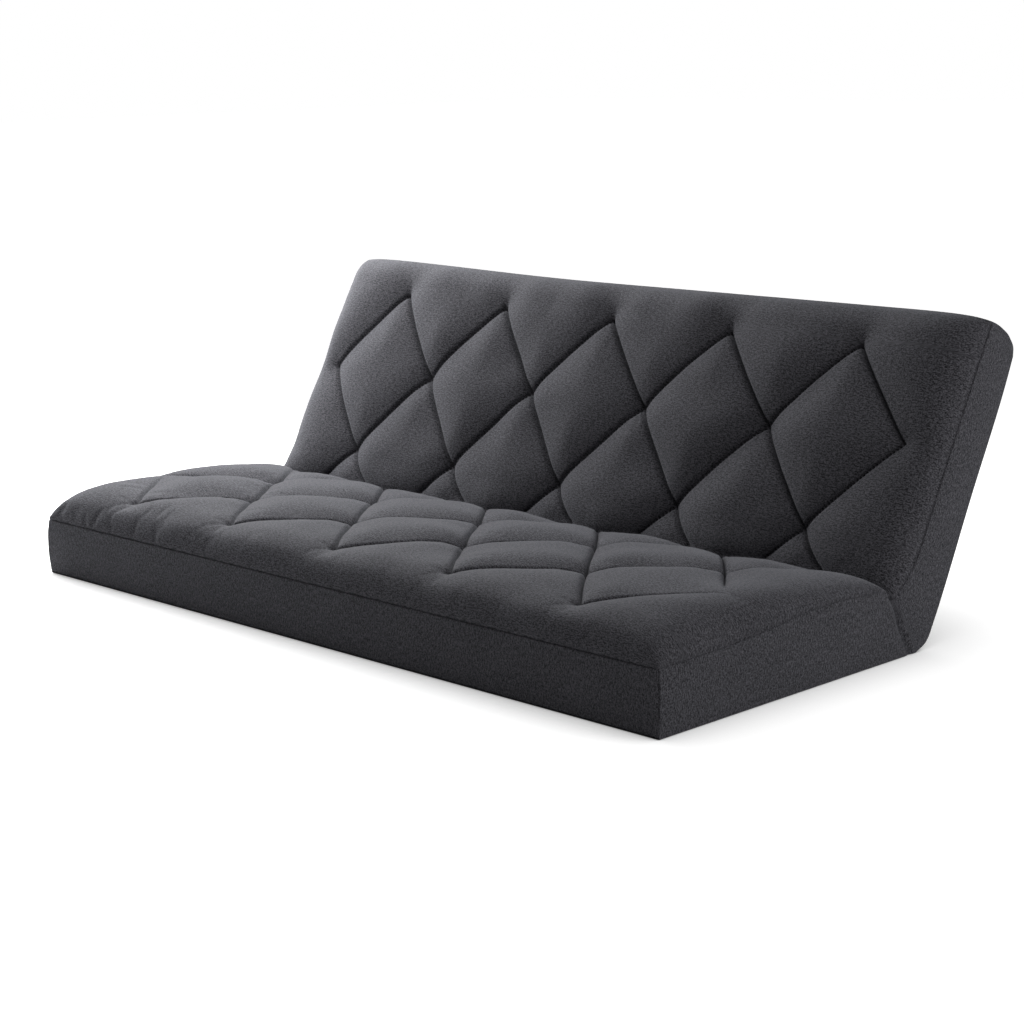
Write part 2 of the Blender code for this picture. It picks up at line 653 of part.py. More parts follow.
def slider_solid():
    """The slider: two plates either side of the teeth, joined by a web in the slit."""
    middle = FLOOR + ZIP_RECESS + ZIP_TAPE / 2
    room = ZIP_RIB / 2 + GAP
    wide, web = SLIDER_WIDTH / 2, ZIP_SLIT / 4
    outline = []
    for v, u in ((-1, 1), (1, 1), (1, -1), (-1, -1)):
        plate_out = middle + v * (room + SLIDER_PLATE)
        plate_in = middle + v * room
        if v == u:
            outline += [(ZIP_U + u * web, plate_in), (ZIP_U + u * wide, plate_in),
                        (ZIP_U + u * wide, plate_out)]
        else:
            outline += [(ZIP_U + u * wide, plate_out), (ZIP_U + u * wide, plate_in),
                        (ZIP_U + u * web, plate_in)]
    x = HALF - SLIDER_INSET
    return plate(outline, x - SLIDER_LENGTH / 2, x + SLIDER_LENGTH / 2)


def build_zip(parent):
    half_band = ZIP_BAND / 2 - GAP
    lower = zip_strip(ZIP_U - half_band, ZIP_U - ZIP_SLIT / 2, False)
    upper = zip_strip(ZIP_U + ZIP_SLIT / 2, ZIP_U + half_band, True)
    add_object("zip_tape_lower", *lower, "zip_nylon", parent)
    add_object("zip_tape_upper", *upper, "zip_nylon", parent)
    add_object("zip_slider", *slider_solid(), "zip_metal", parent)


def zip_cutters(parent):
    """The opening in the rear cover, and the rebate in the foam behind it."""
    low_u, high_u = ZIP_U - ZIP_BAND / 2, ZIP_U + ZIP_BAND / 2
    reach = HALF - ZIP_INSET + GAP
    rebate = block((-reach, low_u, FLOOR - TUBE), (reach, high_u, FLOOR + ZIP_DEPTH))
    return add_object("zip_rebate", *rebate, None, parent)


# ---- Assembly ------------------------------------------------------------------------------
def deepest_y():
    """How far the back reaches behind the hinge line when used as a sofa."""
    c, s = math.cos(BACK_ANGLE), math.sin(BACK_ANGLE)
    reach = 0.0
    for x in stations(INNER):
        loop, _ = layer("back", x, 0.0, 0.0)
        reach = max(reach, float(np.max(loop[:, 0] * c - loop[:, 1] * s)))
    return reach


def build_pad(pad, names, parent):
    """The cover panels, wadding and foam of one pad. names maps a strip to its node's name."""
    cutters = frame_cutters(pad, parent)
    pockets = [cutter for cutter in cutters if cutter.name.startswith("pocket")]
    for strip, name in names.items():
        sheet = panel(pad, strip, 0.0, COVER, SEAM_TRIM)
        piece = add_object(name, *sheet, "cover_cloth", parent, 30)
        if strip == "under":
            piece.data.materials.clear()
            piece.data.materials.append(material("lining_cloth" if pad == "seat" else "cover_cloth"))
        if strip == "fold":
            for pocket in pockets:
                cut(piece, pocket)
        if strip == "under" and pad == "back":
            cut(piece, zip_cutters(parent))
    for name, side in SIDES.items():
        add_object(f"{pad}_boxing_{name}", *end_boxing(pad, side), "cover_cloth", parent)
    fibre = panel(pad, "top", COVER + WADDING_GAP, WADDING, WADDING_TRIM)
    add_object(f"{pad}_wadding", *fibre, "fibre_wadding", parent, 30)
    foam = add_object(f"{pad}_foam", *core(pad), "foam", parent, 30)
    for cutter in cutters:
        cut(foam, cutter)
    if pad == "back":
        cut(foam, bpy.data.objects["zip_rebate"])
    build_frame(pad, parent)


def main():
    clear_scene()
    hinge_y = (SEAT_LENGTH - deepest_y()) / 2
    seat = add_empty("seat_at_hinge", (0.0, hinge_y, HINGE_HEIGHT))
    back = add_empty("back_pivot", (0.0, hinge_y, HINGE_HEIGHT), BACK_ANGLE)
    build_pad("seat", {"fold": "seat_fold_panel", "top": "seat_top_panel",
                       "front": "seat_front_boxing", "under": "seat_bottom_cloth"}, seat)
    build_pad("back", {"fold": "back_fold_panel", "top": "back_face_panel",
                       "under": "back_rear_panel"}, back)
    build_zip(back)
    for name, side in SIDES.items():
        build_hinge(name, side, seat, back)
    bpy.context.view_layer.update()


main()
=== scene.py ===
"""Futon sofa bed: a quilted mattress folded into a seat and a back, its zip and its steel frame.

Metres, +Z up, X along the sofa, the front faces -Y. Run as a script: it loads the fixed frame,
makes one padded mattress round it and gives every piece its finish.
"""

import json
import math

import bmesh
import bpy
import numpy as np
from bpy.props import FloatProperty, FloatVectorProperty, IntProperty, PointerProperty
from bpy.types import Operator, Panel, PropertyGroup
from mathutils import Matrix, Vector


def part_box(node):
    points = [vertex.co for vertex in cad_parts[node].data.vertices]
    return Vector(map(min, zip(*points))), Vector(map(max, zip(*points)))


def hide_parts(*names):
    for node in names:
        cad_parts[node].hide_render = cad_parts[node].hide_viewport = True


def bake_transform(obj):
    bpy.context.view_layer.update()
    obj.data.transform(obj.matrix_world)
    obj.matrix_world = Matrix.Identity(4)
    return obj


bl_info = {
    "name": "Futon sofa bed",
    "version": (1, 0, 0),
    "blender": (4, 5, 0),
    "location": "3D View > Sidebar > Futon",
    "description": "Makes the quilted mattress, its finishes and a plain studio round a fixed frame",
    "category": "Object",
}

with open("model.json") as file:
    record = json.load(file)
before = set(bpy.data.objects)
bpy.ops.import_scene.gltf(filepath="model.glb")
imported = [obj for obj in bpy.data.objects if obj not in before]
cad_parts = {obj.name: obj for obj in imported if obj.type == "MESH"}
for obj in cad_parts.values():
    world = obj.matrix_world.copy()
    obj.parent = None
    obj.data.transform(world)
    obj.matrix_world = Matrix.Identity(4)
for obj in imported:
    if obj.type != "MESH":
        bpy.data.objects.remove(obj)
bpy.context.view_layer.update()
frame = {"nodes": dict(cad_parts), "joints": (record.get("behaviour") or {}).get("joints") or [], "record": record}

# ---- Places taken from the frame
RECLINE = next(j for j in frame["joints"] if j["name"] == "back_recline")
HINGE_Y, HINGE_Z = RECLINE["pos_m"][1], RECLINE["pos_m"][2]
SLOPE = math.radians(RECLINE["range_deg"][1])  # of the back, when the sofa is upright
COS, SIN = math.cos(SLOPE), math.sin(SLOPE)
FRONT_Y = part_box("seat_front_boxing")[0].y
END_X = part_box("seat_front_boxing")[1].x  # half the length of the sofa
ZIP_LOW, ZIP_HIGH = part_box("zip_tape_lower"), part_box("zip_tape_upper")

# ---- Outline of the cross-section
# Each entry is a point of the puffs' envelope in the middle of the sofa and the point of the
# side seam that belongs to it. Seat: distance from the front face, height. Back: distance from
# the hinge line along the pad, height above the hinge line when the pad lies flat.
SEAT_OUTLINE = (
    ((0.000, 0.1285), (0.000, 0.1285)),
    ((0.001, 0.1500), (0.006, 0.1295)),
    ((0.014, 0.1765), (0.018, 0.1298)),
    ((0.045, 0.1945), (0.045, 0.1305)),
    ((0.100, 0.2050), (0.100, 0.1315)),
    ((0.200, 0.2090), (0.200, 0.1335)),
    ((0.310, 0.2070), (0.310, 0.1415)),
    ((0.420, 0.2000), (0.420, 0.1525)),
    ((0.520, 0.1900), (0.520, 0.1530)),
    ((0.590, 0.1790), (0.590, 0.1490)),
    ((0.632, 0.1660), (0.630, 0.1470)),
    ((0.653, 0.1520), (0.651, 0.1390)),
    ((0.662, 0.1435), (0.668, 0.1216)),
)
BACK_OUTLINE = (
    ((0.070, 0.1455), (0.056, 0.1120)),
    ((0.090, 0.1500), (0.085, 0.1000)),
    ((0.130, 0.1520), (0.130, 0.0880)),
    ((0.220, 0.1530), (0.220, 0.0855)),
    ((0.350, 0.1530), (0.350, 0.0830)),
    ((0.480, 0.1510), (0.480, 0.0805)),
    ((0.550, 0.1460), (0.550, 0.0790)),
    ((0.595, 0.1370), (0.590, 0.0780)),
    ((0.621, 0.1190), (0.612, 0.0775)),
    ((0.635, 0.0980), (0.6268, 0.0771)),
)
TOP_OUTLINE = (
    ((0.635, 0.0980), (0.6268, 0.0771)),
    ((0.641, 0.0700), (0.6310, 0.0560)),
    ((0.640, 0.0300), (0.6315, 0.0300)),
    ((0.633, 0.0000), (0.6270, 0.0020)),
    ((0.614, -0.0200), (0.6150, -0.0180)),
    ((0.595, -0.0280), (0.5960, -0.0275)),
)
# The mitre at the ends of the fold: distance from the front, height.
MITRE = ((0.664, 0.1300), (0.6794, 0.0973), (0.6898, 0.0651), (0.7103, 0.0308), (0.7273, 0.0070))
UNDERSIDE = 0.0015  # of the mattress above the floor
FOLD_UNDER = 0.7480  # distance from the front where the underside starts to turn up
REAR = -0.0300  # the rear cover's height in the back's own coordinates
REAR_OUTLINE = ((0.000, -0.0262), (0.012, -0.0290), (0.030, REAR), (0.300, REAR), (0.560, REAR),
                TOP_OUTLINE[-1][1])

# ---- Quilting: rows of stitched points, alternately in and out of step
PITCH = 0.3461  # between stitched points along the sofa
SEAT_ROWS = ((0.0702, 5, 0.0145), (0.2701, 6, 0.027), (0.4786, 5, 0.026), (0.6620, 6, 0.012))
BACK_ROWS = ((0.1474, 5, 0.025), (0.3490, 6, 0.026), (0.5428, 5, 0.024))
HIDDEN_ROW = (6, 0.025)  # of the back, below the crease

# ---- Small shapes of the cover
SEAM_PLACES = np.array([0.0, 0.0010, 0.0024, 0.0044, 0.0072])  # rows of the grid beside a seam
CREASE_BLEND = 0.016  # either side of the crease, where the two panels' quilting is mixed
FRONT_BOW, FRONT_FOOT = 0.004, 0.010  # how far the front boxing bows, and its foot's height
END_BOW, END_BOW_FADE = 0.0035, 0.05  # of the end boxing, and where it fades out
TOP_JOIN_ROWS = 12  # rows over which the rear cover meets the rounded top
ZIP_DEPTH, ZIP_HALF, ZIP_EDGE = 0.0100, 0.0195, 0.0050  # the rebate: depth, half width, its slope
MITRE_DEPTH, MITRE_WIDTH = 0.0065, 0.0065
END_BAND = 0.02  # how near to an end a point counts as being on it
SEAM_PULL, FRONT_DROP = 0.7, 0.5  # shares of its depth by which a seam pulls in, and the front down
SEAM_PAINTED_SHADE, END_PAINTED_SHADE_SHARE = 0.38, 0.4  # painted shade in a seam's groove, and the ends' share of that
LOSS_FROM, LOSS_TO = 0.22, 0.07  # distance from the end over which the quilting gets shallow
BROAD_SHARE = 0.88  # of the depth where stitched lines meet
LEFT_FULLNESS = 1.6  # how much more of the seat's movement is kept at its left end
LEFT_FROM, LEFT_TO = -0.75, -0.10  # along the sofa, where that fades out
TOP_LEFT, TOP_RIGHT = -0.95, -0.10  # along the sofa, where the back's left lift fades out
TOP_FROM, TOP_TO = 0.25, 0.62  # along the back pad, where the lift grows
TOP_CLOTH, BOXING_CLOTH, LINING = 0, 1, 2  # material slots of the mattress


# ---- Settings
def number(name, description, default, unit="NONE"):
    """A setting that is a plain number."""
    return FloatProperty(name=name, description=description, default=default, unit=unit)


def length(name, description, default):
    """A setting that is a length."""
    return number(name, description, default, "LENGTH")


def colour(name, description, default):
    """A setting that is a colour."""
    return FloatVectorProperty(
        name=name, description=description, default=default, subtype="COLOR", size=3)


class FutonMattressSettings(PropertyGroup):
    """Sizes of the padding that a user would change."""

    grid: length("Grid", "Spacing of the surface's points", 0.0065)
    steps: IntProperty(
        name="Steps", description="Grid rows between two rows of stitched points", default=32)
    reach: length("Crease reach", "How far a stitched line shapes the padding", 0.132)
    crispness: number("Crispness", "Sharpness of the creases", 2.5)
    slack: number("Slack", "How much shallower a stitched line is half way", 0.12)
    slit: length("Slit", "Extra depth of the stitched line itself", 0.0110)
    slit_width: length("Slit width", "Half width of that narrow slit", 0.0030)
    outer_loss: number("Outer loss", "Share of the depth lost at the seat's ends", 0.85)
    end_fullness: number("End fullness", "How far the padding stays full towards the ends", 18.0)
    seam_depth: length("Seam depth", "How far a seam pulls in", 0.0036)
    seam_width: length("Seam width", "Half width of a seam's groove", 0.0020)
    top_lift: length("Top lift", "Extra height of the back's top edge", 0.0035)
    left_lift: length("Left lift", "Further height at the back's left end", 0.014)
    unevenness: length("Unevenness", "Slow variation of the padding", 0.0022)
    pressure: number("Pressure", "Inflation of the cloth between its stitches", 4.0)
    spare: number("Spare cloth", "Share by which the cloth is larger than its shape", 0.020)
    stiffness: number("Bending stiffness", "How much the padded cloth resists folding", 0.6)
    seat_share: number("Seat wrinkles", "Share of the simulated movement kept on the seat", 0.22)
    back_share: number("Back wrinkles", "Share of the simulated movement kept on the back", 0.14)
    frames: IntProperty(name="Frames", description="Length of the simulation", default=20)
    cap: length("Cap", "Farthest a simulated point may move", 0.010)


class FutonFinishSettings(PropertyGroup):
    """Colours and textures of the finishes."""

    cloth_dark: colour("Cloth, dark yarn", "Darker yarn of the cover", (0.0050, 0.0048, 0.0062))
    cloth_light: colour("Cloth, light yarn", "Lighter yarn of the cover", (0.1120, 0.1090, 0.1230))
    # Painted shade: darkens the boxing's yarns against the top's; at 1.0 none is painted.
    boxing_painted_shade: number("Boxing shade", "Lightness of the boxing against the top", 1.00)


class FutonStageSettings(PropertyGroup):
    """Camera and light."""

    camera_place: FloatVectorProperty(
        name="Camera", description="Where the camera stands", default=(3.42786, -3.26107, 1.18586),
        subtype="XYZ", unit="LENGTH", size=3)
    camera_turn: FloatVectorProperty(
        name="Camera turn", description="Heading, downward pitch and roll in degrees",
        default=(-45.602, 11.81, -1.1345), size=3)
    lens: number("Lens", "Focal length in millimetres", 78.35)
    overhead: number("Overhead light", "Strength of the overhead light", 0.85)
    spread: FloatProperty(
        name="Light spread", description="Angle over which the overhead light is spread",
        default=math.radians(80.0), subtype="ANGLE")
    key: number("Key light", "Power of the soft light at the left", 63.0)
    fill: number("Fill light", "Power of the light at the right", 18.0)
    sky: number("Room light", "Strength of the room's even light", 0.05)
    glow: number("Floor glow", "Brightness of the pale floor itself", 0.80)


# ---- Curves
def smooth_through(points, at):
    """A smooth curve through the points, read at the parameters in at.

    Between two points it is a cubic whose slopes at its ends are the chord slopes either side,
    weighted by the length of the other chord.
    """
    p = np.asarray(points, float)
    chord = np.linalg.norm(np.diff(p, axis=0), axis=1)
    slope = np.diff(p, axis=0) / chord[:, None]
    inner = (slope[:-1] * chord[1:, None] + slope[1:] * chord[:-1, None]) / (
        chord[1:, None] + chord[:-1, None])
    tangent = np.vstack([slope[:1], inner, slope[-1:]])
    i = np.clip(np.floor(at).astype(int), 0, len(p) - 2)
    t = (at - i)[:, None]
    h = chord[i][:, None]
    return (
        (2 * t**3 - 3 * t**2 + 1) * p[i] + (t**3 - 2 * t**2 + t) * h * tangent[i]
        + (3 * t**2 - 2 * t**3) * p[i + 1] + (t**3 - t**2) * h * tangent[i + 1])


def seat_world(points):
    """Seat outline points, distance from the front and height, as world Y and Z."""
    p = np.asarray(points, float)
    return np.stack([FRONT_Y + p[:, 0], p[:, 1]], 1)


def back_world(points):
    """Back outline points, along the pad and above the hinge line, as world Y and Z."""
    p = np.asarray(points, float)
    return np.stack(
        [HINGE_Y + p[:, 0] * COS - p[:, 1] * SIN, HINGE_Z + p[:, 0] * SIN + p[:, 1] * COS], 1)


def back_places(y, z):
    """Where world Y and Z lie in the back: along the pad, and above the hinge line when it is flat."""
    y, z = y - HINGE_Y, z - HINGE_Z
    return y * COS + z * SIN, -y * SIN + z * COS


def lengths(curve):
    """Distance along a polyline at each of its points."""
    steps = np.linalg.norm(np.diff(curve, axis=0), axis=1)
    return np.concatenate([[0.0], np.cumsum(steps)])


def stations(length, step):
    """Places from 0 to length, a step apart, and closer together near both ends."""
    near = SEAM_PLACES[-1]
    count = max(2, int(round((length - 2 * near) / step)))
    middle = np.linspace(near, length - near, count + 1)[1:-1]
    return np.concatenate([SEAM_PLACES, middle, length - SEAM_PLACES[::-1]])


def end_stations(length, step, near_start):
    """Places from 0 to length, a step apart, and closer together near the one end."""
    near = SEAM_PLACES[-1]
    count = max(2, int(round((length - near) / step)))
    places = np.concatenate([SEAM_PLACES, np.linspace(near, length, count + 1)[1:]])
    return places if near_start else length - places[::-1]


def step_up(x, low, high):
    """0 below low, 1 above high, and a smooth S between them."""
    t = np.clip((x - low) / (high - low), 0.0, 1.0)
    return t * t * (3 - 2 * t)


def fullness(x, settings):
    """1 along the sofa and 0 at its ends: the square root of 1 - |x / half length| to a high power."""
    return np.sqrt(np.maximum(1 - np.abs(x / END_X) ** settings.end_fullness, 0.0))


def normals_of(curve):
    """Unit normals of a Y-Z polyline, to the left of its direction of travel."""
    along = np.gradient(curve, axis=0)
    n = np.stack([-along[:, 1], along[:, 0]], 1)
    return n / np.linalg.norm(n, axis=1)[:, None]


# ---- The quilted sheet
class Section:
    """The mattress's cross-section as matched rows of points on its four sides.

    Between two rows of stitched points there are always the same number of rows of the grid,
    so that every stitched line runs through the grid's own points.
    """

    def __init__(self, settings):
        middle = np.vstack([seat_world([a for a, b in SEAT_OUTLINE]),
                            back_world([a for a, b in BACK_OUTLINE])])
        seam = np.vstack([seat_world([b for a, b in SEAT_OUTLINE]),
                          back_world([b for a, b in BACK_OUTLINE])])
        fine = np.linspace(0, len(middle) - 1, 6001)
        curve = smooth_through(middle, fine)
        along = lengths(curve)
        self.length = along[-1]
        self.crease = float(np.interp(len(SEAT_OUTLINE) - 1, fine, along))
        on_seat = along <= self.crease
        depth = np.maximum.accumulate(curve[on_seat, 0]) - FRONT_Y
        reach = back_places(curve[~on_seat, 0], curve[~on_seat, 1])[0]
        self.seat_rows = [(float(np.interp(d, depth, along[on_seat])), n, deep)
                          for d, n, deep in SEAT_ROWS]
        self.seat_rows[-1] = (self.crease, *self.seat_rows[-1][1:])
        self.back_rows = [(float(np.interp(u, reach, along[~on_seat])), n, deep)
                          for u, n, deep in BACK_ROWS]
        steps = settings.steps
        first = self.back_rows[0][0]
        short = int(round(steps * (first - self.crease) / (self.back_rows[1][0] - first)))
        hidden = first - steps * (first - self.crease) / short
        places = [end_stations(self.seat_rows[0][0], settings.grid, True)]
        knots = [r[0] for r in self.seat_rows]
        places += [np.linspace(a, b, steps + 1)[1:] for a, b in zip(knots, knots[1:])]
        places.append(np.linspace(self.crease, first, short + 1)[1:])
        knots = [r[0] for r in self.back_rows]
        places += [np.linspace(a, b, steps + 1)[1:] for a, b in zip(knots, knots[1:])]
        places.append(knots[-1] + end_stations(self.length - knots[-1], settings.grid, False)[1:])
        self.back_rows.insert(0, (hidden, *HIDDEN_ROW))
        self.s = np.concatenate(places)
        at = np.interp(self.s, along, fine)
        self.middle = smooth_through(middle, at)
        self.seam = smooth_through(seam, at)
        self.normal = normals_of(self.middle)
        self.is_seat = self.s <= self.crease + 1e-9
        self.crease_row = int(self.is_seat.sum()) - 1


def columns_of(settings):
    """Places of the grid's columns along the sofa: through the stitched points, then to the ends."""
    half = PITCH / 2
    count = int(END_X / half)
    inner = np.arange(-count * settings.steps, count * settings.steps + 1) * half / settings.steps
    outer = inner[-1] + end_stations(END_X - inner[-1], settings.grid, False)[1:]
    return np.concatenate([-outer[::-1], inner, outer])


def row_points(where, count):
    """Stitched points of one row: (x, s) pairs, evenly spaced about the middle."""
    return [((i - (count - 1) / 2) * PITCH, where) for i in range(count)]


def stitch_lines(rows):
    """Stitched lines between neighbouring points of neighbouring rows: end, end, depth, depth."""
    lines = []
    for (a, n, deep_a), (b, m, deep_b) in zip(rows, rows[1:]):
        for p in row_points(a, n):
            for q in row_points(b, m):
                if abs(p[0] - q[0]) < PITCH * 0.75:
                    lines.append((p, q, deep_a, deep_b))
    return lines


def line_distance(x, s, a, b):
    """Distance from the line a-b to every point of the sheet, and the place along it, 0 to 1."""
    dx, ds = b[0] - a[0], b[1] - a[1]
    t = np.clip(((x - a[0]) * dx + (s - a[1]) * ds) / (dx * dx + ds * ds), 0.0, 1.0)
    return np.hypot(x - a[0] - t * dx, s - a[1] - t * ds), t


def pressed(x, s, lines, settings, outer_loss):
    """How deep the stitched lines press the sheet in.

    Each line presses by its own depth times (1 - distance / reach) to the power crispness, a
    little less half way along, and by a narrow slit exp(-(distance / width)^2) on top. Lines
    that meet join as the cube root of the sum of their cubes. outer_loss is the share of the
    depth lost at the stitched points nearest to the sofa's ends.
    """
    broad, slit = np.zeros_like(x), np.zeros_like(x)
    for a, b, deep_a, deep_b in lines:
        d, t = line_distance(x, s, a, b)
        depth = (deep_a + (deep_b - deep_a) * t) * (1 - settings.slack * 4 * t * (1 - t))
        broad += (depth * (1 - np.minimum(d / settings.reach, 1.0)) ** settings.crispness) ** 3
        slit = np.maximum(slit, np.exp(-((d / settings.slit_width) ** 2)))
    outer = 1 - outer_loss * step_up(np.abs(x), END_X - LOSS_FROM, END_X - LOSS_TO)
    return (np.cbrt(broad) * BROAD_SHARE + settings.slit * slit) * outer, slit * outer


def unevenness(x, s, seed, size, count=90):
    """Slow random variation between about -1 and 1: a sum of waves in random directions."""
    random = np.random.default_rng(seed)
    total = np.zeros_like(x)
    for _ in range(count):
        angle, phase = random.uniform(0, 2 * math.pi, 2)
        wave = 2 * math.pi / (size * random.uniform(0.6, 1.8))
        total += np.sin(wave * (x * math.cos(angle) + s * math.sin(angle)) + phase)
    return total / math.sqrt(count)


def tension_folds(x, s, section):
    """Small folds that run from the stitched points into plain cloth, as depths.

    From each front point of the seat three curl towards the left front, and from each upper
    point of the back one runs up to the top edge. Others stand across the front seam, deeper
    at the left. A fold is its deep end, its shallow end, its depth and its half width.
    """
    random = np.random.default_rng(7)
    folds = []
    for px, ps in row_points(*section.seat_rows[0][:2]):
        for turn, long, deep in ((0.10, 0.060, 0.0065), (0.85, 0.075, 0.0030), (0.50, 0.050, 0.0022)):
            angle = math.pi + turn + random.uniform(-0.12, 0.12)
            end = (px + long * math.cos(angle), ps + long * math.sin(angle))
            folds.append(((px, ps), end, deep, 0.013))
    for px, ps in row_points(*section.back_rows[-1][:2]):
        folds.append(((px, ps), (px + random.uniform(-0.008, 0.008), ps + 0.036), 0.0040, 0.014))
    for i in range(15):
        px = random.uniform(-0.93, -0.30) if i < 9 else random.uniform(-0.30, 0.92)
        deep = 0.00192 if px < -0.3 else 0.00084
        ps = random.uniform(0.004, 0.016)
        long = random.uniform(0.030, 0.060)
        folds.append(((px, ps), (px + random.uniform(-0.012, 0.020), ps + long), deep, 0.011))
    total = np.zeros_like(x)
    for a, b, deep, reach in folds:
        d, t = line_distance(x, s, a, b)
        total += deep * (1 - t) * (1 - np.minimum(d / reach, 1.0)) ** 2
    return total


def quilted_sheet(section, x, settings):
    """The quilted panel as a grid of points, rows along the section, columns along the sofa.

    A point is the side seam's point plus its fullness times the way to the middle outline.
    From there it is pressed in along the outline's normal by the quilting. Returned are the
    grid, the same without the narrow slits, and the slits as a mask, which holds the cloth in
    the simulation and paints shade into the stitched lines.
    """
    xx, ss = np.meshgrid(x, section.s)
    full = fullness(xx, settings)
    seat_part, seat_slit = pressed(xx, ss, stitch_lines(section.seat_rows), settings,
                                   settings.outer_loss)
    back_part, back_slit = pressed(xx, ss, stitch_lines(section.back_rows), settings, 0.0)
    share = step_up(ss, section.crease - CREASE_BLEND, section.crease + CREASE_BLEND)
    depth = seat_part * (1 - share) + back_part * share
    slit = np.maximum(seat_slit * (share < 0.5), back_slit * (share >= 0.5))
    edge = step_up(ss, 0.0, 0.06) * (1 - step_up(ss, section.length - 0.05, section.length))
    rough = settings.unevenness * unevenness(xx, ss, 3, 0.22) * edge
    depth = (depth + tension_folds(xx, ss, section) + rough) * full
    slit = slit * full
    flat = section.seam[:, None, :] + full[..., None] * (section.middle - section.seam)[:, None, :]
    inward = -section.normal[:, None, :]
    sheet = flat + depth[..., None] * inward
    plain = flat + (depth - settings.slit * slit)[..., None] * inward
    return np.dstack([xx, sheet]), np.dstack([xx, plain]), slit


def placed(name, data):
    """A new object with the data, in the scene."""
    item = bpy.data.objects.new(name, data)
    bpy.context.scene.collection.objects.link(item)
    return item


def points_of(mesh):
    """The mesh's points as an array."""
    co = np.empty(len(mesh.vertices) * 3, np.float32)
    mesh.vertices.foreach_get("co", co)
    return co.reshape(-1, 3).astype(float)


def held_sheet(points, hold):
    """A plain grid object of the points; its group "held" keeps the stitched lines and edges still."""
    part = patch(points, points[..., :2], TOP_CLOTH, (0, -0.6, 1))
    mesh = bpy.data.meshes.new("inflating")
    mesh.from_pydata(part["points"], [], part["quads"])
    item = placed("inflating", mesh)
    group = item.vertex_groups.new(name="held")
    group.add([int(i) for i in np.flatnonzero(hold.ravel())], 1.0, "REPLACE")
    return item


PADDED_CLOTH = {
    "quality": 5, "mass": 0.3, "tension_stiffness": 12.0, "compression_stiffness": 12.0,
    "shear_stiffness": 5.0, "air_damping": 2.0, "vertex_group_mass": "held", "use_pressure": True}


def inflated(points, hold, settings):
    """How far each point of the sheet moves when the padding under it pushes the cloth out.

    The cloth is held along its stitched lines and edges and gets a little spare cloth, so it
    rises between them in full, slightly uneven puffs. No point moves farther than the cap.
    """
    item = held_sheet(points, hold)
    cloth = item.modifiers.new("cloth", "CLOTH")
    for name, value in PADDED_CLOTH.items():
        setattr(cloth.settings, name, value)
    cloth.settings.bending_stiffness = settings.stiffness
    cloth.settings.shrink_min = -settings.spare
    cloth.settings.uniform_pressure_force = settings.pressure
    cloth.settings.effector_weights.gravity = 0.0
    cloth.collision_settings.use_collision = False
    cloth.point_cache.frame_start = 1
    cloth.point_cache.frame_end = settings.frames
    scene = bpy.context.scene
    for number in range(1, settings.frames + 1):
        scene.frame_set(number)
    evaluated = item.evaluated_get(bpy.context.evaluated_depsgraph_get())
    moved = points_of(evaluated.to_mesh()).reshape(points.shape) - points
    scene.frame_set(1)
    mesh = item.data
    bpy.data.objects.remove(item)
    bpy.data.meshes.remove(mesh)
    size = np.linalg.norm(moved, axis=2, keepdims=True)
    return moved * (settings.cap * np.tanh(size / settings.cap) / np.maximum(size, 1e-9))


def spread_out(coarse, rows, columns, row_at, column_at):
    """Values known on some rows and columns, read between them, row by row and column by column."""
    wide = np.stack([np.stack([np.interp(columns, column_at, line) for line in coarse[..., k]])
                     for k in range(3)], 2)
    return np.stack([np.stack([np.interp(rows, row_at, line) for line in wide[..., k].T], 1)
                     for k in range(3)], 2)


def puffed(sheet, plain, slit, section, settings):
    """The quilted sheet after its cloth has been inflated between the stitches.

    The simulation runs on every other row and column, through the stitched lines, and a share
    of its movement, larger at the seat's left end, is spread over the full grid.
    """
    rows, columns = np.arange(sheet.shape[0]), np.arange(sheet.shape[1])
    row_at = np.unique(np.concatenate([[0], rows[section.crease_row % 2::2], rows[-1:]]))
    column_at = np.unique(np.concatenate([[0], columns[sheet.shape[1] // 2 % 2::2], columns[-1:]]))
    coarse = plain[np.ix_(row_at, column_at)]
    held = slit[np.ix_(row_at, column_at)] > 0.6
    held[0] = held[-1] = True
    held[:, 0] = held[:, -1] = True
    held[np.searchsorted(row_at, section.crease_row)] = True
    moved = inflated(coarse, held, settings)
    left = 1 - step_up(coarse[..., :1], LEFT_FROM, LEFT_TO)
    on_seat = section.is_seat[row_at][:, None, None]
    moved *= np.where(on_seat, settings.seat_share * (1 + LEFT_FULLNESS * left), settings.back_share)
    return sheet + spread_out(moved, rows, columns, row_at, column_at)


# ---- The closed mattress
def underneath(section):
    """Rows of the underside and the rear cover, matched to the quilted panel's rows.

    The underside is flat, turns up round the fold on a smooth curve, and the rear cover is
    straight up to the rounded top.
    """
    last = section.crease_row
    share = section.s[:last + 1] / section.s[last]
    seat = seat_world(np.stack([share * FOLD_UNDER, np.full(last + 1, UNDERSIDE)], 1))
    corner = np.vstack([seat[-1:], back_world(REAR_OUTLINE)])
    fine = np.linspace(0, len(corner) - 1, 2001)
    curve = smooth_through(corner, fine)
    along = lengths(curve)
    share = (section.s[last + 1:] - section.s[last]) / (section.s[-1] - section.s[last])
    back = np.stack([np.interp(share * along[-1], along, curve[:, k]) for k in (0, 1)], 1)
    return np.vstack([seat, back])


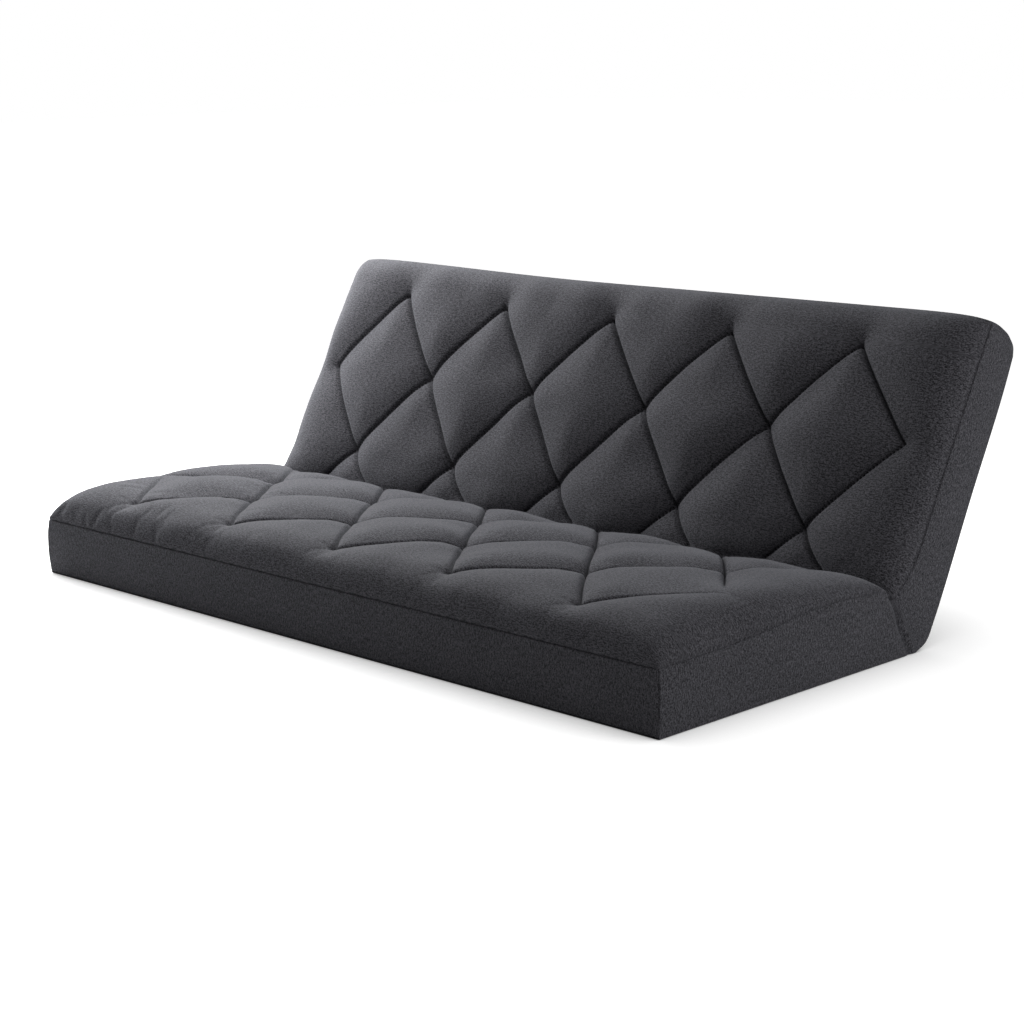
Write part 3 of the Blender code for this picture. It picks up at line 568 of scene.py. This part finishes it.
def patch(points, uv, slot, facing, crease=None):
    """One grid of points as mesh data, with its faces turned to look along facing.

    crease is 1 in the stitched slits and 0 in plain cloth: the mask of the painted shade
    in the cloth's colour.
    """
    rows, columns = points.shape[:2]
    index = np.arange(rows * columns).reshape(rows, columns)
    quads = np.stack([index[:-1, :-1], index[:-1, 1:], index[1:, 1:], index[1:, :-1]], -1)
    a, b = points[1:, :-1] - points[:-1, 1:], points[1:, 1:] - points[:-1, :-1]
    if np.cross(b, a).reshape(-1, 3).sum(0) @ np.asarray(facing, float) < 0:
        quads = quads[..., ::-1]
    crease = np.zeros((rows, columns)) if crease is None else crease
    return {"points": points.reshape(-1, 3), "uv": uv.reshape(-1, 2), "crease": crease.ravel(),
            "quads": quads.reshape(-1, 4), "slot": slot}


def mesh_of(name, patches):
    """A mesh object from patches: shared borders merged, one UV map in metres."""
    shift, points, quads, uv, slots = 0, [], [], [], []
    for part in patches:
        points.append(part["points"])
        quads.append(part["quads"] + shift)
        uv.append(part["uv"][part["quads"]].reshape(-1, 2))
        slots.append(np.full(len(part["quads"]), part["slot"], np.int32))
        shift += len(part["points"])
    mesh = bpy.data.meshes.new(name)
    mesh.from_pydata(np.vstack(points), [], np.vstack(quads))
    # The crease mask paints shade into the cover's colour along stitched lines and seams.
    painted_shade_mask = mesh.attributes.new("crease", "FLOAT", "POINT")
    crease = np.concatenate([part["crease"] for part in patches])
    painted_shade_mask.data.foreach_set("value", crease.astype(np.float32))
    layer = mesh.uv_layers.new(name="metres")
    layer.data.foreach_set("uv", np.vstack(uv).astype(np.float32).ravel())
    mesh.polygons.foreach_set("material_index", np.concatenate(slots))
    mesh.update()
    work = bmesh.new()
    work.from_mesh(mesh)
    bmesh.ops.remove_doubles(work, verts=work.verts, dist=1e-5)
    bmesh.ops.dissolve_degenerate(work, edges=work.edges, dist=1e-6)
    work.to_mesh(mesh)
    work.free()
    mesh.shade_smooth()
    return placed(name, mesh)


def near_curve(points, curve):
    """Distance in Y and Z from each point to a polyline, and the index of the nearest corner."""
    gap = np.linalg.norm(points[:, None, 1:] - curve[None], axis=2)
    nearest = gap.argmin(1)
    best = np.full(len(points), np.inf)
    for k in (-1, 0):
        i = np.clip(nearest + k, 0, len(curve) - 2)
        a, b = curve[i], curve[i + 1]
        d = b - a
        t = np.clip(((points[:, 1:] - a) * d).sum(1) / np.maximum((d * d).sum(1), 1e-12), 0, 1)
        best = np.minimum(best, np.linalg.norm(points[:, 1:] - a - t[:, None] * d, axis=1))
    return best, nearest


def pull_seams(mesh, section, settings):
    """Pulls the surface in along every seam: depth times exp(-(distance / width)^2).

    The seams are the front one, the two round the ends, the upright ones at the front corners
    and the mitre at each end of the fold. Their grooves are added to the crease mask as painted
    shade, darker where a seam pulls in deeper.
    """
    def groove(distance, width=settings.seam_width):
        return np.exp(-((distance / width) ** 2))

    p = points_of(mesh)
    deep = settings.seam_depth
    front = np.hypot(p[:, 1] - section.seam[0, 0], p[:, 2] - section.seam[0, 1])
    pull = groove(front)[:, None] * np.array([0.0, SEAM_PULL, -FRONT_DROP]) * deep
    ends = np.abs(p[:, 0]) > END_X - END_BAND
    q = p[ends]
    side = np.sign(q[:, :1])
    from_end = END_X - np.abs(q[:, 0])
    top = np.vstack([section.seam, section.top_seam[::-1]])
    past = lengths(top)
    fade = 1 - step_up(past, past[-1] - 0.07, past[-1] - 0.01)
    gap, nearest = near_curve(q, top)
    amount = (groove(np.hypot(gap, from_end)) * fade[nearest])[:, None] * deep
    pull[ends] += amount * np.hstack(
        [-SEAM_PULL * side, -SEAM_PULL * normals_of(top)[nearest]])
    corner = groove(np.hypot(q[:, 1] - FRONT_Y, from_end)) * step_up(q[:, 2], 0.0, 0.03)
    pull[ends] += corner[:, None] * np.hstack(
        [-SEAM_PULL * side, np.full_like(side, SEAM_PULL), np.zeros_like(side)]) * deep
    gap, _ = near_curve(q, smooth_through(seat_world(MITRE), np.linspace(0, len(MITRE) - 1, 30)))
    pull[ends, 0] -= side[:, 0] * MITRE_DEPTH * groove(np.hypot(gap, 0.6 * from_end), MITRE_WIDTH)
    mesh.vertices.foreach_set("co", (p + pull).astype(np.float32).ravel())
    painted_shade_mask = mesh.attributes["crease"]
    values = np.empty(len(p), np.float32)
    painted_shade_mask.data.foreach_get("value", values)
    # Painted shade: the deeper a seam pulls in, the darker its groove's colour, less at the ends.
    painted_shade = SEAM_PAINTED_SHADE * np.linalg.norm(pull, axis=1) / deep
    painted_shade[ends] *= END_PAINTED_SHADE_SHARE
    painted_shade_mask.data.foreach_set("value", np.maximum(values, np.clip(painted_shade, 0, 1)).astype(np.float32))
    mesh.update()


def lift_top(mesh, settings):
    """Lengthens the back's upper half a little, and more towards its fuller left end."""
    p = points_of(mesh)
    reach = back_places(p[:, 1], p[:, 2])[0]
    left = 1 - step_up(p[:, 0], TOP_LEFT, TOP_RIGHT)
    rise = (settings.top_lift + settings.left_lift * left) * step_up(reach, TOP_FROM, TOP_TO)
    p += rise[:, None] * np.array([0.0, COS, SIN])
    mesh.vertices.foreach_set("co", p.astype(np.float32).ravel())
    mesh.update()


def sink_zip(grid):
    """Sinks the rear cover under the zip, square to the cover."""
    along, above = back_places(grid[..., 1], grid[..., 2])
    corners = [back_places(box[i].y, box[i].z)[0] for box in (ZIP_LOW, ZIP_HIGH) for i in (0, 1)]
    middle, half_x = (min(corners) + max(corners)) / 2, ZIP_LOW[1].x
    depth = ZIP_DEPTH * (above < 0) * (
        1 - step_up(np.abs(along - middle), ZIP_HALF, ZIP_HALF + ZIP_EDGE)) * (
        1 - step_up(np.abs(grid[..., 0]), half_x, half_x + 0.004))
    grid[..., 1] -= depth * SIN
    grid[..., 2] += depth * COS


def with_x(x, yz):
    """A grid of points whose columns stand at x, from their Y and Z."""
    return np.dstack([np.broadcast_to(x, yz.shape[:2]), yz])


def front_boxing(x, section, under, share):
    """The front boxing as a grid: it bows out half way up and turns in at its foot."""
    up = np.broadcast_to(share[:, None], (len(share), len(x)))
    low, high = under[0], section.seam[0]
    tall = high[1] - low[1]
    foot = np.clip(1 - up * tall / FRONT_FOOT, 0, 1)
    y = low[0] + (high[0] - low[0]) * up - FRONT_BOW * (4 * up * (1 - up) - foot**2)
    return with_x(x, np.dstack([y, low[1] + tall * up]))


def top_edge(x, section, sheet, share, settings):
    """The back's rounded top edge as a grid, from the rear corner up to the quilted panel."""
    middle = back_world([a for a, b in TOP_OUTLINE[::-1]])
    seam = back_world([b for a, b in TOP_OUTLINE[::-1]])
    fine = np.linspace(0, len(middle) - 1, 801)
    along = lengths(smooth_through(middle, fine))
    at = np.interp(share * along[-1], along, fine)
    section.top_middle, section.top_seam = smooth_through(middle, at), smooth_through(seam, at)
    full = fullness(x, settings)[None, :, None]
    yz = section.top_seam[:, None] + full * (section.top_middle - section.top_seam)[:, None]
    grid = with_x(x, yz)
    grid[-1] = sheet[-1]
    return grid


def under_grid(x, section, under, front, top, settings):
    """Underside and rear cover as one grid, which meets the front boxing and the rounded top."""
    rows = len(section.s)
    join = step_up(np.arange(rows), rows - TOP_JOIN_ROWS, rows - 1)[:, None, None]
    full = fullness(x, settings)[None, :, None]
    yz = under[:, None] + full * join * (section.top_middle[0] - under[-1])
    grid = with_x(x, yz)
    grid[0], grid[-1] = front[0], top[0]
    sink_zip(grid)
    return grid


def end_face(side, section, sheet, bottom, front, top, share):
    """The end at side -1 or 1, from the underside up to the side seam, slightly bowed out."""
    column = 0 if side < 0 else -1
    low, high = bottom[:, column, 1:], sheet[:, column, 1:]
    r = share[:, None, None]
    face = low[None] * (1 - r) + high[None] * r
    face[:, 0], face[:, -1] = front[:, column, 1:], top[:, column, 1:]
    near = np.minimum(section.s, section.length - section.s)
    bow = 4 * r[..., 0] * (1 - r[..., 0]) * np.minimum(1, near / END_BOW_FADE)[None] ** 0.5
    along, above = back_places(face[..., 0], face[..., 1])
    u = np.where(section.is_seat, face[..., 0], above)
    v = np.where(section.is_seat, face[..., 1], along)
    return patch(np.dstack([side * (END_X + END_BOW * bow), face]), np.dstack([u, v]), BOXING_CLOTH,
                 (side, 0, 0))


def build_mattress(settings):
    """Assembles the quilted panel, boxing, top edge, underside and rear cover into one skin."""
    section = Section(settings)
    x = columns_of(settings)
    sheet, plain, slit = quilted_sheet(section, x, settings)
    sheet = puffed(sheet, plain, slit, section, settings)
    under = underneath(section)
    height = SEAT_OUTLINE[0][0][1] - UNDERSIDE
    share = stations(height, settings.grid) / height
    front = front_boxing(x, section, under, share)
    top = top_edge(x, section, sheet, share, settings)
    bottom = under_grid(x, section, under, front, top, settings)
    steps = np.linalg.norm(np.diff(sheet, axis=1), axis=2)
    across = np.hstack([np.zeros((len(steps), 1)), np.cumsum(steps, axis=1)])
    across -= across[:, len(x) // 2, None]
    s_rows = np.broadcast_to(section.s[:, None], across.shape)
    top_v = np.broadcast_to(section.length + 0.2 - share[:, None] * 0.15, top.shape[:2])
    k = section.crease_row
    item = mesh_of("mattress", [
        patch(sheet, np.dstack([across, s_rows]), TOP_CLOTH, (0, -0.6, 1), slit),
        patch(front, front[..., [0, 2]], BOXING_CLOTH, (0, -1, 0)),
        patch(top, np.dstack([top[..., 0], top_v]), TOP_CLOTH, (0, 1, 0.6)),
        patch(bottom[:k + 1], np.dstack([bottom[:k + 1, :, 0], s_rows[:k + 1]]), LINING, (0, 0, -1)),
        patch(bottom[k:], np.dstack([bottom[k:, :, 0], s_rows[k:]]), TOP_CLOTH, (0, 1, -0.4)),
        end_face(-1, section, sheet, bottom, front, top, share),
        end_face(1, section, sheet, bottom, front, top, share)])
    pull_seams(item.data, section, settings)
    lift_top(item.data, settings)
    return item


# ---- Finishes
def new_group(name, **inputs):
    """A shader node group with a Vector, the given colours and numbers, and three outputs."""
    group = bpy.data.node_groups.new(name, "ShaderNodeTree")
    sockets = group.interface
    sockets.new_socket(name="Vector", in_out="INPUT", socket_type="NodeSocketVector")
    for label, value in inputs.items():
        kind = "NodeSocketFloat" if isinstance(value, float) else "NodeSocketColor"
        sockets.new_socket(name=label, in_out="INPUT", socket_type=kind).default_value = value
    for label, kind in (("Colour", "Color"), ("Height", "Float"), ("Roughness", "Float")):
        sockets.new_socket(name=label, in_out="OUTPUT", socket_type="NodeSocket" + kind)
    return group, group.nodes.new("NodeGroupInput"), group.nodes.new("NodeGroupOutput")


def fill_outputs(group, end, *values):
    """Links the values to the group's Colour, Height and Roughness."""
    for name, value in zip(("Colour", "Height", "Roughness"), values):
        group.links.new(value, end.inputs[name])


def node_of(tree, kind, **values):
    """A shader node of the kind; values are its inputs, with _ for a space in a name."""
    node = tree.nodes.new("ShaderNode" + kind)
    preset(node, **values)
    return node


def preset(node, **values):
    """Sets inputs of the node; a name has _ for each space."""
    for name, value in values.items():
        node.inputs[name.replace("_", " ")].default_value = value


def math_node(tree, operation, a, b=None, clamp=False):
    """A Math node whose inputs are numbers or sockets; returns its output."""
    node = node_of(tree, "Math")
    node.operation = operation
    node.use_clamp = clamp
    for socket, value in zip(node.inputs, (a, b)):
        if isinstance(value, (int, float)):
            socket.default_value = value
        elif value is not None:
            tree.links.new(value, socket)
    return node.outputs[0]


def scaled(tree, value, share):
    """The value times a number."""
    return math_node(tree, "MULTIPLY", value, share)


def noise(tree, vector, scale, stretch=(1, 1, 1), detail=2.0, roughness=0.5):
    """A Noise Texture of the given scale, stretched by a Mapping node; returns its value."""
    mapping = node_of(tree, "Mapping", Scale=stretch)
    tree.links.new(vector, mapping.inputs["Vector"])
    node = node_of(tree, "TexNoise", Scale=scale, Detail=detail, Roughness=roughness)
    tree.links.new(mapping.outputs[0], node.inputs["Vector"])
    return node.outputs["Fac"]


def ramp(tree, value, low, high):
    """The value stretched so that low becomes 0 and high becomes 1, clamped."""
    node = node_of(tree, "MapRange", From_Min=low, From_Max=high)
    tree.links.new(value, node.inputs["Value"])
    return node.outputs["Result"]


def mix_colour(tree, factor, a, b, blend="MIX"):
    """A colour Mix node; a and b are colours or sockets."""
    node = node_of(tree, "Mix")
    node.data_type = "RGBA"
    node.blend_type = blend
    slots = {"Factor": node.inputs[0], "A": node.inputs[6], "B": node.inputs[7]}
    for key, value in (("Factor", factor), ("A", a), ("B", b)):
        if isinstance(value, bpy.types.NodeSocket):
            tree.links.new(value, slots[key])
        elif key == "Factor":
            slots[key].default_value = value
        else:
            slots[key].default_value = (*value[:3], 1.0)
    return node.outputs[2]


def heather_group():
    """Heather cloth: yarns of two tones as streaks along the weft, flecks and sparse light specks.

    Colour goes from the dark to the light yarn by their sum and a slow shading; Height is the
    weave with the streaks, and the flecks are slightly rougher.
    """
    made = bpy.data.node_groups.get("heather_cloth")
    if made:
        return made
    group, start, end = new_group(
        "heather_cloth", Dark=(0.03, 0.03, 0.03, 1), Light=(0.1, 0.1, 0.1, 1))
    vector = start.outputs["Vector"]
    streak = noise(group, vector, 360.0, (0.28, 1.0, 1.0), 1.0)
    fleck = noise(group, vector, 380.0, (0.80, 1.0, 1.0), 1.0)
    slow = noise(group, vector, 9.0)
    streaks = ramp(group, streak, 0.41, 0.59)
    flecks = ramp(group, fleck, 0.43, 0.57)
    specks = ramp(group, noise(group, vector, 230.0, (0.9, 0.8, 1.0), 1.0), 0.56, 0.70)
    tone = math_node(group, "ADD", scaled(group, streaks, 0.36), scaled(group, flecks, 0.52))
    tone = math_node(group, "ADD", tone, scaled(group, specks, 0.35))
    shading = scaled(group, math_node(group, "SUBTRACT", slow, 0.5), 0.22)
    tone = math_node(group, "ADD", tone, shading, True)
    mixed = mix_colour(group, tone, start.outputs["Dark"], start.outputs["Light"])
    weave = noise(group, vector, 900.0, (0.6, 1.0, 1.0), 1.0)
    height = math_node(group, "ADD", scaled(group, weave, 0.6), scaled(group, streak, 0.4))
    roughness = math_node(group, "ADD", 0.86, scaled(group, flecks, 0.1))
    fill_outputs(group, end, mixed, height, roughness)
    return group


def grain_group():
    """Small-scale variation for metal and plastic: colour, roughness and bump from noise."""
    made = bpy.data.node_groups.get("fine_grain")
    if made:
        return made
    group, start, end = new_group(
        "fine_grain", Base=(0.1, 0.1, 0.1, 1), Worn=(0.2, 0.2, 0.2, 1), Rough=0.5)
    vector = start.outputs["Vector"]
    cloud = ramp(group, noise(group, vector, 35.0, detail=4.0, roughness=0.6), 0.35, 0.75)
    fine = noise(group, vector, 900.0)
    mixed = mix_colour(group, scaled(group, cloud, 0.5), start.outputs["Base"], start.outputs["Worn"])
    roughness = math_node(group, "ADD", start.outputs["Rough"], scaled(group, cloud, 0.12))
    fill_outputs(group, end, mixed, fine, roughness)
    return group


def new_material(name):
    """A material with its node tree, Principled shader and output."""
    made = bpy.data.materials.new(name)
    made.use_nodes = True
    return made, made.node_tree, made.node_tree.nodes["Principled BSDF"]


def wire_finish(tree, shader, group, vector, values, strength, depth):
    """Adds the node group with its values and drives the shader's bump and roughness with it."""
    node = node_of(tree, "Group")
    node.node_tree = group
    preset(node, **values)
    tree.links.new(vector, node.inputs["Vector"])
    bump = node_of(tree, "Bump", Strength=strength, Distance=depth)
    tree.links.new(node.outputs["Height"], bump.inputs["Height"])
    tree.links.new(bump.outputs["Normal"], shader.inputs["Normal"])
    tree.links.new(node.outputs["Roughness"], shader.inputs["Roughness"])
    return node.outputs["Colour"]


WEAVE_DEPTH, GRAIN_DEPTH = 0.0012, 0.0002  # of the bump, in metres
CREASE_PAINTED_SHADE, PAINTED_SHADE_COLOUR = 0.75, (0.006, 0.006, 0.007)  # painted shade: how far a groove's colour turns to this dark colour
SHEEN_TINT = (0.55, 0.57, 0.62, 1)


def cloth_material(name, dark, light, turned=False, weave=0.60, sheen=0.25):
    """Heather cloth read from the UV map in metres; turned runs its streaks up instead of along."""
    made, tree, shader = new_material(name)
    where = node_of(tree, "UVMap")
    where.uv_map = "metres"
    vector = where.outputs["UV"]
    if turned:
        mapping = node_of(tree, "Mapping", Rotation=(0, 0, math.pi / 2))
        tree.links.new(vector, mapping.inputs["Vector"])
        vector = mapping.outputs["Vector"]
    cloth = wire_finish(tree, shader, heather_group(), vector,
                        {"Dark": (*dark, 1), "Light": (*light, 1)}, weave, WEAVE_DEPTH)
    # Painted shade: the crease mask darkens the base colour in stitched lines and seams.
    crease = node_of(tree, "Attribute")
    crease.attribute_name = "crease"
    painted_shade = math_node(tree, "MULTIPLY", crease.outputs["Fac"], CREASE_PAINTED_SHADE, True)
    tree.links.new(mix_colour(tree, painted_shade, cloth, PAINTED_SHADE_COLOUR), shader.inputs["Base Color"])
    preset(shader, Specular_IOR_Level=0.15, Sheen_Weight=sheen, Sheen_Roughness=0.55,
           Sheen_Tint=SHEEN_TINT)
    return made


def hard_material(name, base, worn, rough, metallic):
    """Metal or plastic with fine grain read from Object coordinates."""
    made, tree, shader = new_material(name)
    where = node_of(tree, "TexCoord")
    grain = wire_finish(tree, shader, grain_group(), where.outputs["Object"],
                        {"Base": (*base, 1), "Worn": (*worn, 1), "Rough": rough}, 0.3, GRAIN_DEPTH)
    tree.links.new(grain, shader.inputs["Base Color"])
    preset(shader, Metallic=metallic)
    return made


# Colour, worn colour, roughness and metallic of each finish.
HARD_FINISHES = {
    "frame_steel": ((0.030, 0.030, 0.032), (0.060, 0.060, 0.062), 0.42, 0.0),
    "hinge_steel": ((0.52, 0.52, 0.53), (0.38, 0.37, 0.35), 0.30, 1.0),
    "spring_steel": ((0.42, 0.42, 0.43), (0.30, 0.29, 0.28), 0.28, 1.0),
    "plug_plastic": ((0.015, 0.015, 0.016), (0.030, 0.030, 0.031), 0.45, 0.0),
    "zip_nylon": ((0.030, 0.030, 0.034), (0.050, 0.050, 0.055), 0.60, 0.0),
    "zip_metal": ((0.10, 0.10, 0.11), (0.22, 0.22, 0.23), 0.30, 1.0),
}


# ---- Operators
COVER_NODES = (
    "seat_top_panel", "seat_front_boxing", "seat_boxing_left", "seat_boxing_right", "seat_fold_panel",
    "seat_bottom_cloth", "seat_foam", "seat_wadding", "back_face_panel", "back_boxing_left",
    "back_boxing_right", "back_fold_panel", "back_rear_panel", "back_foam", "back_wadding")


class FUTON_OT_mattress(Operator):
    """Make the quilted mattress that bends from the seat into the back"""

    bl_idname = "futon.mattress"
    bl_label = "Mattress"

    def execute(self, context):
        settings = context.scene.futon_mattress
        finish = context.scene.futon_finish
        item = build_mattress(settings)
        yarns = [tuple(finish.cloth_dark), tuple(finish.cloth_light)]
        # The boxing's yarns carry its painted shade, none at the default of 1.0.
        painted_shade_yarns = [tuple(c * finish.boxing_painted_shade for c in yarn) for yarn in yarns]
        lining = (0.015, 0.015, 0.017), (0.040, 0.040, 0.044)
        for made in (cloth_material("cover_cloth_top", *yarns),
                     cloth_material("cover_cloth_boxing", *painted_shade_yarns, turned=True),
                     cloth_material("lining_cloth", *lining, weave=0.2, sheen=0.1)):
            item.data.materials.append(made)
        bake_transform(item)
        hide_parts(*COVER_NODES)
        return {"FINISHED"}


class FUTON_OT_frame_finish(Operator):
    """Give the frame, hinges and zip their finishes"""

    bl_idname = "futon.frame_finish"
    bl_label = "Frame and zip finishes"

    def execute(self, context):
        slots = {p["node"]: p["material_slot"] for p in frame["record"]["subparts"]}
        made = {slot: hard_material(slot, *values) for slot, values in HARD_FINISHES.items()}
        for name, item in frame["nodes"].items():
            finish = made.get(slots[name])
            if finish is None:
                continue
            if not item.material_slots:
                item.data.materials.append(finish)
            for slot in item.material_slots:
                slot.material = finish
        return {"FINISHED"}


CAMERA_SHIFT = (-0.01765, -0.00480)
SENSOR_WIDTH = 36.0
# Each light: kind, place, the point it shines at.
LIGHTS = {
    "overhead": ("SUN", (0.0, 0.3, 3.0), (0.0, 0.0, 0.0)),
    "key": ("AREA", (-1.60, 0.16, 1.25), (0.0, -0.1, 0.2)),
    "fill": ("AREA", (2.8, 0.5, 1.0), (0.6, 0.1, 0.3))}
KEY_SIZE, FILL_SIZE = 1.5, 1.6
FLOOR_HALF = 30.0
FLOOR_COLOUR = (0.80, 0.80, 0.80, 1)
GLOW_SHARE = 0.10  # of the floor's glow that lights the sofa
PAINTED_SHADOW_REACH, PAINTED_SHADOW_SAMPLES = 0.40, 16  # painted shadow: how near to the sofa the floor's glow is dimmed
WHITE = (1, 1, 1, 1)


def add_light(name, energy):
    """The named light of LIGHTS."""
    kind, place, target = LIGHTS[name]
    item = placed(name, bpy.data.lights.new(name, kind))
    item.data.energy = energy
    item.location = place
    item.rotation_euler = (Vector(target) - Vector(place)).to_track_quat("-Z", "Y").to_euler()
    return item


class FUTON_OT_stage(Operator):
    """Make the floor, the light and the camera"""

    bl_idname = "futon.stage"
    bl_label = "Stage"

    def execute(self, context):
        settings = context.scene.futon_stage
        scene = context.scene
        heading, pitch, roll = (math.radians(a) for a in settings.camera_turn)
        ahead = Vector((math.sin(heading) * math.cos(pitch), math.cos(heading) * math.cos(pitch),
                        -math.sin(pitch)))
        right = Vector((math.cos(heading), -math.sin(heading), 0.0))
        up = right.cross(ahead)
        right, up = (math.cos(roll) * right + math.sin(roll) * up,
                     -math.sin(roll) * right + math.cos(roll) * up)
        camera = placed("camera", bpy.data.cameras.new("camera"))
        turn = Matrix((right, up, -ahead)).transposed().to_4x4()
        camera.matrix_world = Matrix.Translation(Vector(settings.camera_place)) @ turn
        camera.data.lens = settings.lens
        camera.data.sensor_width = SENSOR_WIDTH
        camera.data.shift_x, camera.data.shift_y = CAMERA_SHIFT
        scene.camera = camera

        add_light("overhead", settings.overhead).data.angle = settings.spread
        add_light("key", settings.key).data.size = KEY_SIZE
        add_light("fill", settings.fill).data.size = FILL_SIZE

        mesh = bpy.data.meshes.new("floor")
        signs = (-1, -1), (1, -1), (1, 1), (-1, 1)
        corners = [(x * FLOOR_HALF, y * FLOOR_HALF, 0) for x, y in signs]
        mesh.from_pydata(corners, [], [(0, 1, 2, 3)])
        floor = placed("floor", mesh)
        made, tree, shader = new_material("floor")
        preset(shader, Base_Color=FLOOR_COLOUR, Roughness=1.0, Specular_IOR_Level=0.0,
               Emission_Color=WHITE)
        seen = node_of(tree, "LightPath")
        glow = node_of(tree, "MapRange", To_Min=settings.glow * GLOW_SHARE, To_Max=settings.glow)
        tree.links.new(seen.outputs["Is Camera Ray"], glow.inputs["Value"])
        # Painted shadow: ambient occlusion dims the floor's glow near the sofa.
        near = node_of(tree, "AmbientOcclusion", Distance=PAINTED_SHADOW_REACH)
        near.samples = PAINTED_SHADOW_SAMPLES
        strength = math_node(tree, "MULTIPLY", glow.outputs["Result"], near.outputs["AO"])
        tree.links.new(strength, shader.inputs["Emission Strength"])
        mesh.materials.append(made)

        world = bpy.data.worlds.new("room")
        scene.world = world
        world.use_nodes = True
        tree = world.node_tree
        tree.nodes.clear()
        seen = node_of(tree, "Background", Color=WHITE)
        lit = node_of(tree, "Background", Color=WHITE, Strength=settings.sky)
        path, mix, out = (node_of(tree, kind) for kind in ("LightPath", "MixShader", "OutputWorld"))
        tree.links.new(path.outputs["Is Camera Ray"], mix.inputs[0])
        tree.links.new(lit.outputs[0], mix.inputs[1])
        tree.links.new(seen.outputs[0], mix.inputs[2])
        tree.links.new(mix.outputs[0], out.inputs["Surface"])
        scene.view_settings.view_transform = "Standard"
        return {"FINISHED"}


class FUTON_PT_panel(Panel):
    """The operators, in the order that main calls them"""

    bl_label = "Futon"
    bl_idname = "FUTON_PT_panel"
    bl_space_type = "VIEW_3D"
    bl_region_type = "UI"
    bl_category = "Futon"

    def draw(self, context):
        for operator in OPERATORS:
            self.layout.operator(operator.bl_idname)


OPERATORS = (FUTON_OT_stage, FUTON_OT_mattress, FUTON_OT_frame_finish)
SETTINGS = {"futon_mattress": FutonMattressSettings, "futon_finish": FutonFinishSettings,
            "futon_stage": FutonStageSettings}
CLASSES = (*SETTINGS.values(), *OPERATORS, FUTON_PT_panel)


def register():
    for item in CLASSES:
        bpy.utils.register_class(item)
    for name, kind in SETTINGS.items():
        setattr(bpy.types.Scene, name, PointerProperty(type=kind))


def unregister():
    for name in SETTINGS:
        delattr(bpy.types.Scene, name)
    for item in reversed(CLASSES):
        bpy.utils.unregister_class(item)


def main():
    register()
    bpy.ops.futon.stage()
    bpy.ops.futon.mattress()
    bpy.ops.futon.frame_finish()


if __name__ == "__main__":
    main()
